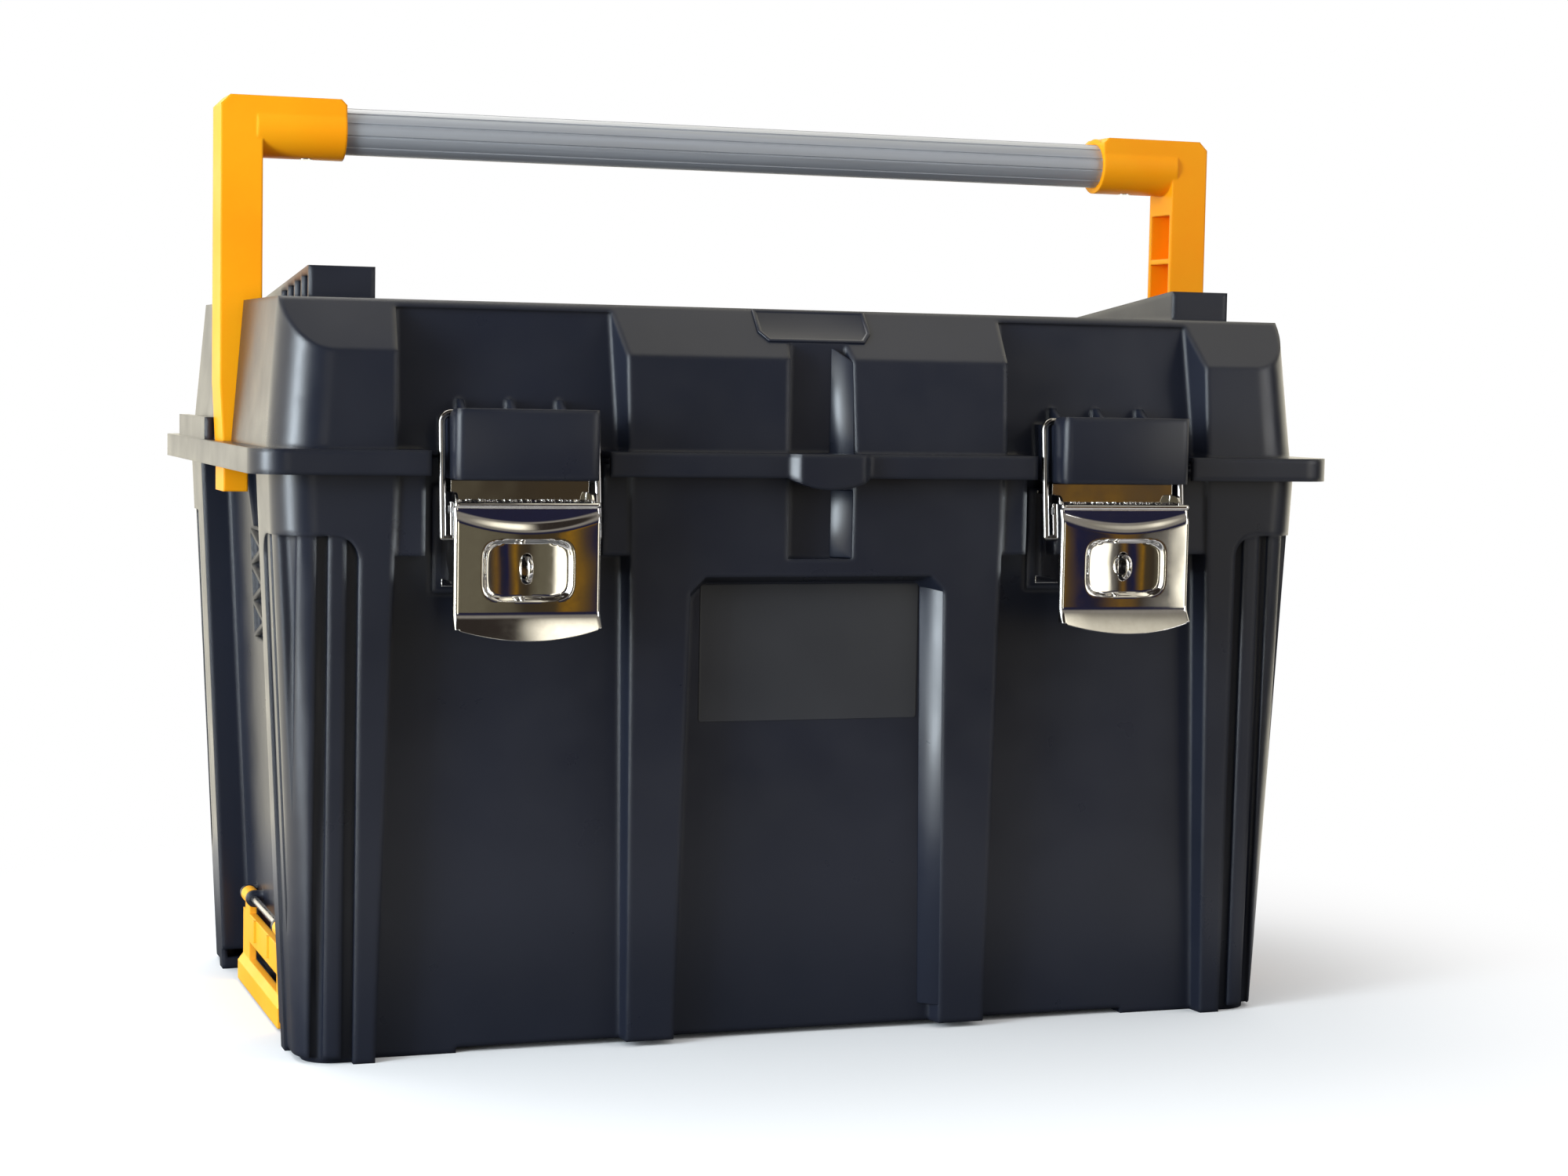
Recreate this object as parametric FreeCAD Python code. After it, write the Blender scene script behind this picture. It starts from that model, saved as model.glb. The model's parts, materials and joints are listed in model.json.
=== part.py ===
import FreeCAD, Part
import math
import os

# Large moulded toolbox: bin, hinged lid, telescoping carry handle, two draw latches with padlock
# staples and two side clips. Millimetres, +Z up, +X along the length, the latches face -Y.
# Every place below is measured from the middle of the rim's plan and from the floor under the feet.

V = FreeCAD.Vector
X_AXIS = V(1, 0, 0)
Y_AXIS = V(0, 1, 0)
Z_AXIS = V(0, 0, 1)
HALF = 0.5

# Rim and the seam between lid and bin
rim_length = 595.0
rim_depth = 333.0
rim_corner = 18.0
rim_plate = 3.0
rim_skirt = 9.5
rim_skirt_wall = 3.0
lid_seat_z = 306.0
seat_gap = 0.3
flange_gap = 1.0
flange_wall = 3.0

# Bin
wall = 3.2
bin_floor = 3.5
bin_length_top = 571.0
bin_length_low = 542.0
bin_depth_top = 310.0
bin_depth_low = 300.0
bin_corner = 20.0
foot_height = 3.0
foot_inner_x = 188.0
foot_inner_y = 100.0

# Corner columns, set back below a plain corner block, with upright ribs
block_low_z = 266.0
column_setback = 5.0
column_inner_x = 243.0
column_inner_y = 112.0
column_arch = 12.0
column_rib_width = 9.0
column_rib_proud = 4.0
column_rib_pitch = 15.0
column_rib_first = 6.0

# Front of the bin: two latch recesses, a centre panel recess and a short groove
latch_x = 163.5
recess_floor_y = -139.0
recess_inner_top_x = 102.5
recess_outer_top_x = 224.5
recess_inner_low_x = 98.0
recess_outer_low_x = 234.5
recess_draft = 3.0
panel_half_top = 74.0
panel_half_low = 80.0
panel_top_z = 248.0
panel_floor_y = -140.0
panel_draft = 7.0
panel_round = 8.0
groove_half = 21.5
groove_draft = 6.0
groove_floor_y = -146.0
groove_low_z = 254.0

# Ends of the bin: wide upright channel, arm funnel and lattice field
channel_half = 98.0
channel_depth = 16.0
channel_low_z = 12.0
funnel_half_low = 20.0
funnel_half_top = 66.0
funnel_low_z = 262.0
funnel_floor_x = 264.0
lattice_half = 32.0
lattice_low_z = 200.0
lattice_high_z = 260.0
lattice_depth = 3.0
lattice_bar = 2.4
lattice_cells = 3

# Back of the bin: two shallow panels
back_panel_inner_x = 40.0
back_panel_outer_x = 215.0
back_panel_depth = 5.0
back_panel_low_z = 22.0
back_panel_high_z = 272.0

# Lid
lid_top_z = 384.0
lid_length_top = 558.0
lid_depth_top = 298.0
lid_corner = 26.0
lid_wall = 3.0
shoulder_z = 358.0
chamfer_top_y = 126.0
lid_recess_inner_x = 103.0
lid_recess_outer_x = 226.0
lid_recess_draft = 6.0
lid_recess_low_y = -141.0
lid_recess_high_y = -128.0
lid_recess_high_z = 380.0
lid_groove_floor_y = -143.0
tab_half = 22.5
tab_proud = 5.0
tab_drop = 6.0

# Raised wedges on the lid, beside the handle's sleeves
wedge_inner_x = 226.0
wedge_outer_x = 260.0
wedge_front_y = -104.0
wedge_back_y = 60.0
wedge_height = 16.5
wedge_wall = 3.0
wedge_cells = 4

# Low stop blocks on the end rims
bump_front_y = 18.0
bump_back_y = 120.0
bump_height = 12.0
bump_wall = 5.0

# Hinge
hinge_y = 174.0
hinge_z = 298.0
hinge_x = 150.0
knuckle_r = 6.5
knuckle_width = 24.0
knuckle_gap = 2.0
hinge_pin_r = 2.5
hinge_running = 0.05
web_below = 10.0
web_top = 3.5

# Handle
tube_r = 12.6
tube_wall = 1.8
tube_z = 476.6
sleeve_end_x = 224.0
sleeve_r = 16.0
tube_in_sleeve = 30.0
tube_fit = 0.05
tube_groove_r = 0.7
tube_grooves = 12
arm_outer_x = 291.2
arm_inner_x = 269.0
arm_tip_outer_x = 289.0
arm_tip_inner_x = 276.0
arm_half_depth = 14.6
arm_taper_high_z = 340.0
arm_taper_low_z = 300.0
arm_low_z = 282.0
arm_chamfer = 5.0
arm_wall = 3.0
arm_pocket_low_z = 308.0
arm_pocket_high_z = 452.0
arm_cells = 5
arm_slot_gap = 1.0
arm_lug_proud = 2.4
arm_lug_height = 9.0
slot_floor_gap = 3.0
slot_side_gap = 1.0
screw_r = 2.2
screw_head_r = 4.0
screw_head = 1.5
screw_length = 12.0
screw_x = 244.0

# Hook blocks on the lid
hook_half = 36.1
hook_front_y = -179.0
hook_low_z = 295.2
hook_top_z = 325.5
hook_edge = 2.0
gusset_pitch = 26.0
gusset_wall = 2.5
gusset_toe_y = -155.5
gusset_height = 9.0
notch_half = 46.0
guard_low_z = 256.0
guard_front_y = -153.0

# Latch: base bracket, lever, wire bail and padlock staple
pad_half = 40.0
pad_low_z = 236.5
pad_high_z = 291.0
pad_proud = 3.0
steel = 1.5
base_half = 35.5
base_low_z = 240.0
base_high_z = 290.0
ear_front_y = -174.0
ear_low_z = 244.0
ear_high_z = 288.5
ear_round = 6.0
bridge_front_y = -162.5
bridge_low_z = 283.0
bridge_high_z = 294.3
lever_pin_y = -168.0
lever_pin_z = 280.0
lever_pin_r = 2.0
lever_pin_half = 37.8
pin_running = 0.05
lever_half = 37.5
lever_front_y = -180.5
lever_top_z = 284.0
lever_crease_z = 228.5
lever_lip_z = 216.0
lever_lip_rise = 5.6
lever_lip_out = 7.5
lever_roll_r = 1.75
dish_half = 25.0
dish_low_z = 235.0
dish_high_z = 265.0
dish_depth = 4.0
slot_half = 2.4
slot_low_z = 242.0
slot_high_z = 258.6
flange_back_y = -160.0
bail_wire_r = 1.8
bail_half = 40.0
bail_pivot_y = -166.0
bail_pivot_z = 266.0
bail_bar_y = -160.0
bail_bend_r = 5.0
bail_stub_gap = 0.25
bail_running = 0.05
bail_rest_gap = 0.3
staple_wire_r = 1.5
staple_bend_r = 5.0
staple_z = 251.0
staple_bend_y = -180.0
rivet_r = 2.0
rivet_head_r = 4.0
rivet_head = 1.6
rivet_dx = 24.0
rivet_z = (247.0, 282.0)

# Side clips
clip_half = 68.0
clip_low_z = 1.5
clip_body_z = 42.0
clip_wall = 4.0
clip_gap = 3.0
clip_prong_y = 53.0
clip_prong_half = 7.5
clip_slot_half = 46.0
clip_slot_low_z = 16.0
clip_slot_high_z = 26.0
clip_lip_x = 3.0
clip_rib_y = 22.0
clip_rib_wall = 3.0
clip_rib_proud = 1.5
clip_pin_r = 2.0
clip_pin_z = 51.0
clip_knuckle_r = 4.5
clip_boss_wall = 4.0
clip_boss_gap = 0.5

overrun = 30.0


def box(x0, x1, y0, y1, z0, z1):
    """Block between two corners, given in any order along each axis."""
    low = V(min(x0, x1), min(y0, y1), min(z0, z1))
    return Part.makeBox(abs(x1 - x0), abs(y1 - y0), abs(z1 - z0), low)


def rod(x, y, z, axis, radius, length):
    """Round bar from a point along an axis."""
    return Part.makeCylinder(radius, length, V(x, y, z), axis)


def prism(points, direction):
    """Flat outline pushed along a direction."""
    corners = [V(*p) for p in points]
    return Part.Face(Part.makePolygon(corners + corners[:1])).extrude(direction)


def side_prism(outline, x0, x1):
    """Outline of (y, z) points between two X planes."""
    return prism([(x0, y, z) for y, z in outline], V(x1 - x0, 0, 0))


def front_prism(outline, y0, y1):
    """Outline of (x, z) points between two Y planes."""
    return prism([(x, y0, z) for x, z in outline], V(0, y1 - y0, 0))


def loft(wires):
    return Part.makeLoft(wires, True, True)


def plan_loft(low, low_z, high, high_z):
    """Straight-sided solid between two plan outlines of (x, y) points."""
    wires = []
    for outline, z in ((low, low_z), (high, high_z)):
        corners = [V(x, y, z) for x, y in outline]
        wires.append(Part.makePolygon(corners + corners[:1]))
    return loft(wires)


def round_rect(hx, hy, r, z):
    """Rounded rectangle, centred, at one height."""
    diag = r * math.sqrt(HALF)
    edges = []
    corners = ((1, 1), (-1, 1), (-1, -1), (1, -1))
    for i, (sx, sy) in enumerate(corners):
        centre = V(sx * (hx - r), sy * (hy - r), z)
        on_x = centre + V(sx * r, 0, 0)
        on_y = centre + V(0, sy * r, 0)
        middle = centre + V(sx * diag, sy * diag, 0)
        first, last = (on_x, on_y) if i % 2 == 0 else (on_y, on_x)
        edges.append(Part.Arc(first, middle, last).toShape())
        nx, ny = corners[(i + 1) % 4]
        if i % 2 == 0:
            ahead = V(nx * (hx - r), ny * hy, z)
        else:
            ahead = V(nx * hx, ny * (hy - r), z)
        edges.append(Part.LineSegment(last, ahead).toShape())
    return Part.Wire(edges)


def mirrored(shape):
    return shape.mirror(V(0, 0, 0), X_AXIS)


def both_ends(shape):
    return shape.fuse(mirrored(shape))


def fused(shapes):
    return shapes[0].multiFuse(shapes[1:]).removeSplitter()


def bent_wire(points, radius, bend):
    """Round wire along straight runs joined by tangent bends."""
    pts = [V(*p) for p in points]
    edges = []
    start = pts[0]
    for i in range(1, len(pts) - 1):
        into = (pts[i] - pts[i - 1]).normalize()
        out = (pts[i + 1] - pts[i]).normalize()
        turn = into.getAngle(out)
        trim = bend * math.tan(turn * HALF)
        first = pts[i] - into * trim
        last = pts[i] + out * trim
        inward = (out - into).normalize()
        centre = pts[i] + inward * (bend / math.cos(turn * HALF))
        middle = centre - inward * bend
        edges.append(Part.LineSegment(start, first).toShape())
        edges.append(Part.Arc(first, middle, last).toShape())
        start = last
    edges.append(Part.LineSegment(start, pts[-1]).toShape())
    path = Part.Wire(edges)
    ring = Part.Wire(Part.Circle(pts[0], pts[1] - pts[0], radius).toShape())
    return path.makePipeShell([ring], True, False)


def bin_half_x(z):
    share = z / lid_seat_z
    return HALF * (bin_length_low + (bin_length_top - bin_length_low) * share)


def bin_half_y(z):
    share = z / lid_seat_z
    return HALF * (bin_depth_low + (bin_depth_top - bin_depth_low) * share)


def bin_body(inset, low_z, high_z):
    """Drafted block of the bin, shrunk on every side by an inset."""
    wires = []
    for z in (low_z, high_z):
        wires.append(round_rect(bin_half_x(z) - inset, bin_half_y(z) - inset,
                                max(bin_corner - inset, wall), z))
    return loft(wires)


def latch_recess(grow):
    """Recess behind one latch, open at the foot and at the rim."""
    mouth = -HALF * rim_depth
    floor_y = recess_floor_y + grow
    run = (floor_y - mouth) * recess_draft / (recess_floor_y - mouth)

    def outline(inner, outer):
        return ((inner - grow + run, floor_y), (outer + grow - run, floor_y),
                (outer + grow, mouth), (inner - grow, mouth))
    low = outline(recess_inner_low_x, recess_outer_low_x)
    high = outline(recess_inner_top_x, recess_outer_top_x)
    return plan_loft(low, -overrun, high, lid_seat_z + overrun)


def centre_panel(grow):
    """Drafted panel recess in the middle of the front, open at the foot."""
    mouth = -HALF * rim_depth
    floor_y = panel_floor_y + grow
    run = panel_draft * (floor_y - mouth) / (panel_floor_y - mouth)

    def outline(shrink):
        low_x = panel_half_low + grow - shrink
        top_x = panel_half_top + grow - shrink
        top_z = panel_top_z + grow - shrink
        bend = panel_round
        return ((-low_x, -overrun), (low_x, -overrun), (top_x, top_z - bend), (top_x - bend, top_z),
                (bend - top_x, top_z), (-top_x, top_z - bend))
    wires = []
    for y, shrink in ((floor_y, run), (mouth, 0)):
        corners = [V(x, y, z) for x, z in outline(shrink)]
        wires.append(Part.makePolygon(corners + corners[:1]))
    return loft(wires)


def front_groove(grow, floor_y, low_z, high_z):
    """Drafted upright groove in the middle of the front."""
    mouth = -HALF * rim_depth
    inner = groove_half - groove_draft + grow
    outer = groove_half + grow
    outline = ((-inner, floor_y + grow), (inner, floor_y + grow), (outer, mouth), (-outer, mouth))
    return plan_loft(outline, low_z - grow, outline, high_z)


def end_channel(grow):
    """Wide upright channel in the end at +X, parallel to the drafted end wall."""
    half = channel_half + grow
    block = box(0, rim_length, -half, half, -overrun, lid_seat_z + overrun)
    return block.cut(bin_body(channel_depth + grow, -overrun, lid_seat_z + overrun))


def arm_funnel(grow):
    """Deeper notch at the rim that takes the lower end of a handle arm."""
    low = funnel_low_z - grow
    high = lid_seat_z + overrun
    a = funnel_half_low + grow
    b = funnel_half_top + grow
    outline = ((-a, low), (a, low), (b, high), (-b, high))
    return side_prism(outline, funnel_floor_x - grow, rim_length)


def lattice_field(grow):
    """Shallow field in the channel's floor that carries crossed ribs."""
    half = lattice_half + grow
    block = box(0, rim_length, -half, half, lattice_low_z - grow, lattice_high_z + grow)
    inset = channel_depth + lattice_depth + grow
    return block.cut(bin_body(inset, -overrun, lid_seat_z + overrun))


def column_setbacks(grow):
    """Four corners set back below the corner blocks."""
    inner_x = column_inner_x - grow
    inner_y = column_inner_y - grow
    corner = box(inner_x, rim_length, inner_y, rim_length, -overrun, block_low_z + grow)
    rounded = []
    for edge in corner.Edges:
        box_of = edge.BoundBox
        flat = box_of.ZLength < seat_gap and abs(box_of.ZMin - block_low_z - grow) < seat_gap
        if flat and (box_of.XMax < inner_x + seat_gap or box_of.YMax < inner_y + seat_gap):
            rounded.append(edge)
    corner = corner.makeFillet(column_arch, rounded)
    core = bin_body(column_setback + grow, -overrun, lid_seat_z + overrun)
    corner = corner.cut(core)
    pair = corner.fuse(corner.mirror(V(0, 0, 0), Y_AXIS))
    return both_ends(pair)


def back_panels(grow):
    """Two shallow panels in the back wall."""
    block = box(back_panel_inner_x - grow, back_panel_outer_x + grow, 0, rim_depth,
                back_panel_low_z - grow, back_panel_high_z + grow)
    core = bin_body(back_panel_depth + grow, -overrun, lid_seat_z + overrun)
    return both_ends(block.cut(core))


def bin_form(grow, low_z, high_z):
    """Outer form of the bin at no growth, its cavity when grown by the wall."""
    form = bin_body(grow, low_z, high_z)
    cuts = [latch_recess(grow), mirrored(latch_recess(grow)), centre_panel(grow),
            front_groove(grow, groove_floor_y, groove_low_z, lid_seat_z + overrun)]
    for piece in (end_channel(grow), arm_funnel(grow), lattice_field(grow)):
        cuts += [piece, mirrored(piece)]
    cuts += [column_setbacks(grow), back_panels(grow)]
    return form.cut(cuts)


def column_ribs():
    """Upright ribs on the front and end faces of the set-back corner columns."""
    ribs = []
    high = block_low_z + wall * HALF
    for i in range(2):
        x = column_inner_x + column_rib_first + i * column_rib_pitch
        ribs.append(box(x, x + column_rib_width, HALF * rim_depth, column_inner_y, foot_height, high))
        y = column_inner_y + column_rib_first + i * column_rib_pitch
        ribs.append(box(HALF * rim_length, column_inner_x, y, y + column_rib_width, foot_height, high))
    skin = bin_body(column_setback - column_rib_proud, foot_height, high)
    core = bin_body(column_setback + wall * HALF, -overrun, lid_seat_z + overrun)
    quarter = fused(ribs).common(skin).cut(core)
    side = quarter.fuse(quarter.mirror(V(0, 0, 0), Y_AXIS))
    return both_ends(side)


def lattice_ribs():
    """Crossed ribs in the lattice field of the end at +X."""
    bars = []
    step = (lattice_high_z - lattice_low_z) / lattice_cells
    for i in range(lattice_cells):
        low = lattice_low_z + i * step
        for side in (-1, 1):
            outline = ((-side * lattice_half, low), (-side * lattice_half, low + lattice_bar),
                       (side * lattice_half, low + step), (side * lattice_half, low + step - lattice_bar))
            bars.append(side_prism(outline, funnel_floor_x - channel_depth, rim_length * HALF))
    skin = bin_body(channel_depth, -overrun, lid_seat_z + overrun)
    core = bin_body(channel_depth + lattice_depth + wall * HALF, -overrun, lid_seat_z + overrun)
    return fused(bars).common(skin).cut(core)


def bin_flange():
    """Flange around the top of the bin, under the lid's rim."""
    top = lid_seat_z - seat_gap
    inset = rim_skirt_wall + flange_gap
    outer = loft([round_rect(HALF * rim_length - inset, HALF * rim_depth - inset, rim_corner - inset, z)
                  for z in (top - flange_wall, top)])
    return outer


def bin_knuckles():
    """Outer hinge knuckles and their webs on the back wall, at +X."""
    pieces = []
    offset = knuckle_width * HALF + knuckle_gap
    for side in (-1, 1):
        inner = hinge_x + side * offset
        outer = inner + side * knuckle_width
        low = min(inner, outer)
        pieces.append(rod(low, hinge_y, hinge_z, X_AXIS, knuckle_r, knuckle_width))
        root = bin_half_y(hinge_z) - wall
        outline = ((root, hinge_z - web_top), (root, hinge_z - web_top - 2 * web_below),
                   (hinge_y, hinge_z - knuckle_r), (hinge_y + knuckle_r, hinge_z),
                   (hinge_y, hinge_z), (hinge_y - knuckle_r, hinge_z - web_top))
        pieces.append(side_prism(outline, low, low + knuckle_width))
    solid = fused(pieces)
    return solid.cut(rod(0, hinge_y, hinge_z, X_AXIS, hinge_pin_r, rim_length))


def latch_pad():
    """Raised pad and the two guards of one latch recess."""
    pad = box(latch_x - pad_half, latch_x + pad_half, recess_floor_y + wall * HALF,
              recess_floor_y - pad_proud, pad_low_z, pad_high_z)
    guards = []
    for side in (-1, 1):
        inner = latch_x + side * notch_half
        outer = latch_x + side * (recess_outer_top_x - latch_x + wall * HALF)
        guards.append(box(inner, outer, recess_floor_y + wall * HALF, guard_front_y,
                          guard_low_z, lid_seat_z - seat_gap))
    return fused([pad] + guards)


def rivet_places(side):
    """Middle points of one base bracket's rivets, as (x, z)."""
    return [(side * latch_x + dx, z) for dx in (-rivet_dx, rivet_dx) for z in rivet_z]


def rivet_holes():
    tools = []
    for side in (-1, 1):
        for x, z in rivet_places(side):
            tools.append(rod(x, recess_floor_y - overrun, z, Y_AXIS, rivet_r, 2 * overrun))
    return tools


def clip_floor_x(z):
    return bin_half_x(z) - channel_depth


def clip_bosses():
    """Bosses on the channel's floor that hold one clip's pin."""
    pieces = []
    root = clip_floor_x(clip_pin_z) - wall * HALF
    for side in (-1, 1):
        for step in (-1, 1):
            near = side * clip_prong_y + step * (clip_prong_half + clip_boss_gap)
            far = near + step * clip_boss_wall
            low = min(near, far)
            pieces.append(rod(clip_pin_x(), low, clip_pin_z, Y_AXIS, clip_knuckle_r, clip_boss_wall))
            pieces.append(box(root, clip_pin_x(), near, far, clip_pin_z - clip_knuckle_r,
                              clip_pin_z + clip_knuckle_r))
    return pieces


def clip_pin_x():
    return clip_floor_x(clip_pin_z) + clip_gap + clip_wall * HALF


def clip_pin():
    """Steel pin of one clip, at +X."""
    half = clip_prong_y + clip_prong_half + clip_boss_gap + clip_boss_wall
    return rod(clip_pin_x(), -half, clip_pin_z, Y_AXIS, clip_pin_r, 2 * half)


def bin_shell():
    outer = bin_form(0, foot_height, lid_seat_z - seat_gap)
    feet = bin_form(0, 0, foot_height)
    feet = feet.common(both_ends(box(foot_inner_x, rim_length, -rim_depth, rim_depth, 0, foot_height)))
    middle = box(-rim_length, rim_length, -foot_inner_y, foot_inner_y, 0, foot_height)
    feet = feet.cut(middle)
    raised = box(0, rim_length, -channel_half - wall, channel_half + wall, 0, channel_low_z)
    raised = raised.cut(bin_body(channel_depth + wall, -overrun, lid_seat_z))
    flange = bin_flange()
    notches = [arm_funnel(0), mirrored(arm_funnel(0))]
    for side in (-1, 1):
        x = side * latch_x
        notches.append(box(x - notch_half, x + notch_half, recess_floor_y, -rim_depth, guard_low_z, lid_seat_z))
    flange = flange.cut(notches)
    ribs = column_ribs()
    pad = both_ends(latch_pad())
    lattice = both_ends(lattice_ribs())
    knuckles = both_ends(bin_knuckles())
    cavity = bin_form(wall, foot_height + bin_floor, lid_seat_z + overrun)
    skin = fused([outer, feet, flange, ribs])
    shell = skin.cut([cavity, raised, mirrored(raised)])
    bosses = fused(clip_bosses())
    shell = fused([shell, pad, lattice, knuckles, both_ends(bosses)])
    pin = clip_pin()
    return shell.cut(rivet_holes() + [pin, mirrored(pin)])


def lid_half_x(z):
    share = (z - lid_seat_z) / (lid_top_z - lid_seat_z)
    return HALF * (bin_length_top + (lid_length_top - bin_length_top) * share)


def lid_half_y(z):
    share = (z - lid_seat_z) / (lid_top_z - lid_seat_z)
    return HALF * (bin_depth_top + (lid_depth_top - bin_depth_top) * share)


def lid_body(inset, low_z, high_z):
    wires = [round_rect(lid_half_x(z) - inset, lid_half_y(z) - inset, lid_corner - inset, z)
             for z in (low_z, high_z)]
    return loft(wires)


def lid_chamfer(grow):
    """Wedge that cuts the long front edge of the lid, moved inwards by the growth."""
    low = V(0, -lid_half_y(shoulder_z), shoulder_z)
    high = V(0, -chamfer_top_y, lid_top_z)
    along = (high - low).normalize()
    inward = V(0, along.z, -along.y)
    start = low - along * overrun + inward * grow
    end = high + along * overrun + inward * grow
    outline = ((start.y, start.z), (end.y, end.z), (-rim_depth, end.z), (-rim_depth, start.z))
    return side_prism(outline, -rim_length, rim_length)


def lid_recess(grow):
    """Recess above one latch, with a leaning floor and drafted sides."""
    mouth = -HALF * rim_depth
    inner = lid_recess_inner_x - grow
    outer = lid_recess_outer_x + grow
    deep = lid_recess_high_y + grow + wall
    outline = ((inner + lid_recess_draft, deep), (outer - lid_recess_draft, deep),
               (outer, mouth), (inner, mouth))
    upright = plan_loft(outline, lid_seat_z - overrun, outline, lid_recess_high_z + grow)
    low = V(0, lid_recess_low_y + grow, lid_seat_z)
    high = V(0, lid_recess_high_y + grow, lid_recess_high_z)
    along = (high - low).normalize()
    start = low - along * overrun
    end = high + along * overrun
    front = side_prism(((start.y, start.z), (end.y, end.z), (-rim_depth, end.z), (-rim_depth, start.z)),
                       0, rim_length)
    return upright.common(front)


def arm_slot(grow):
    """Upright channel for a handle arm in the lid's end at +X."""
    half = arm_half_depth + slot_side_gap + grow
    floor_x = arm_inner_x - slot_floor_gap - grow
    return box(floor_x, rim_length, -half, half, lid_seat_z - overrun, lid_top_z + overrun)


def lid_form(grow, low_z, high_z):
    form = lid_body(grow, low_z, high_z)
    chamfer = lid_chamfer(grow)
    cuts = [chamfer, chamfer.mirror(V(0, 0, 0), Y_AXIS)]
    cuts.append(front_groove(grow, lid_groove_floor_y, low_z - overrun, lid_top_z))
    for piece in (lid_recess(grow), arm_slot(grow)):
        cuts += [piece, mirrored(piece)]
    return form.cut(cuts)


def lid_rim():
    """Rim plate with its skirt and the thumb tab."""
    top = lid_seat_z + rim_plate
    low = lid_seat_z - rim_skirt
    half_x = HALF * rim_length
    half_y = HALF * rim_depth
    outer = loft([round_rect(half_x, half_y, rim_corner, z) for z in (low, top)])
    inset = rim_skirt_wall
    inner = loft([round_rect(half_x - inset, half_y - inset, rim_corner - inset, z)
                  for z in (low - overrun, lid_seat_z)])
    outline = ((-tab_half, -half_y + rim_skirt_wall), (tab_half, -half_y + rim_skirt_wall),
               (tab_half, -half_y), (tab_half - tab_proud, -half_y - tab_proud),
               (tab_proud - tab_half, -half_y - tab_proud), (-tab_half, -half_y))
    tab = plan_loft(outline, low - tab_drop, outline, top)
    sag = (tab_half ** 2 + tab_drop ** 2) / (2 * tab_drop)
    under = rod(0, half_y, low - tab_drop + sag, V(0, -1, 0), sag, rim_depth + overrun)
    keep = under.fuse(box(-tab_half, tab_half, -rim_depth, rim_depth, low, top))
    return outer.cut(inner).fuse(tab.common(keep))


def wedge():
    """Raised wedge at +X with open cells in its outer face."""
    top = lid_top_z + wedge_height
    seat = lid_top_z - lid_wall * HALF
    outline = ((wedge_front_y, seat), (wedge_front_y, top), (wedge_front_y + wedge_wall, top),
               (wedge_back_y, lid_top_z), (wedge_back_y, seat))
    solid = side_prism(outline, wedge_inner_x, wedge_outer_x)
    run = wedge_back_y - wedge_front_y
    cell = (run - wedge_wall) * HALF / wedge_cells
    pockets = []
    for i in range(wedge_cells):
        y0 = wedge_front_y + wedge_wall + i * cell
        y1 = y0 + cell - wedge_wall
        z1 = top - wedge_height * (y1 - wedge_front_y) / run - wedge_wall
        pockets.append(box(wedge_inner_x + wedge_wall, rim_length, y0, y1, lid_top_z, z1))
    return solid.cut(pockets)


def rim_bump():
    """Low stop block on the end rim at +X, behind the handle arm."""
    outer = HALF * rim_length - rim_skirt_wall
    top = lid_seat_z + rim_plate
    return box(outer - bump_wall, outer, bump_front_y, bump_back_y, lid_seat_z, top + bump_height)


def lid_recess_y(z):
    """Leaning floor of the lid's latch recess at one height."""
    share = (z - lid_seat_z) / (lid_recess_high_z - lid_seat_z)
    return lid_recess_low_y + (lid_recess_high_y - lid_recess_low_y) * share


def hook_block():
    """Hook block over the latch at +X, with its gussets."""
    clear = recess_floor_y - flange_gap
    back = lid_recess_y(hook_top_z) + lid_wall * HALF
    outline = ((clear, hook_low_z), (hook_front_y, hook_low_z), (hook_front_y, hook_top_z),
               (back, hook_top_z), (lid_recess_low_y + lid_wall * HALF, lid_seat_z), (clear, lid_seat_z))
    block = side_prism(outline, latch_x - hook_half, latch_x + hook_half)
    front_edges = [e for e in block.Edges if e.BoundBox.YMax < hook_front_y + seat_gap]
    block = block.makeFillet(hook_edge, front_edges)
    pieces = [block]
    for i in (-1, 0, 1):
        x = latch_x + i * gusset_pitch
        outline = ((gusset_toe_y, hook_top_z), (back, hook_top_z), (back, hook_top_z + gusset_height),
                   (lid_recess_low_y, hook_top_z + gusset_height))
        pieces.append(side_prism(outline, x - gusset_wall * HALF, x + gusset_wall * HALF))
    return fused(pieces)


def lid_knuckle():
    """Middle hinge knuckle and web at +X."""
    low_x = hinge_x - knuckle_width * HALF
    barrel = rod(low_x, hinge_y, hinge_z, X_AXIS, knuckle_r, knuckle_width)
    root = HALF * rim_depth - rim_skirt_wall
    web = box(low_x, low_x + knuckle_width, root, hinge_y, hinge_z, lid_seat_z + rim_plate)
    cap = box(low_x, low_x + knuckle_width, hinge_y, hinge_y + knuckle_r, hinge_z,
              lid_seat_z + rim_plate)
    arch_r = lid_seat_z + rim_plate - hinge_z
    arch = rod(low_x, hinge_y, hinge_z, X_AXIS, arch_r, knuckle_width)
    web = web.fuse(cap.common(arch))
    bore = rod(0, hinge_y, hinge_z, X_AXIS, hinge_pin_r + hinge_running, rim_length)
    return barrel.fuse(web).cut(bore)


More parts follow.
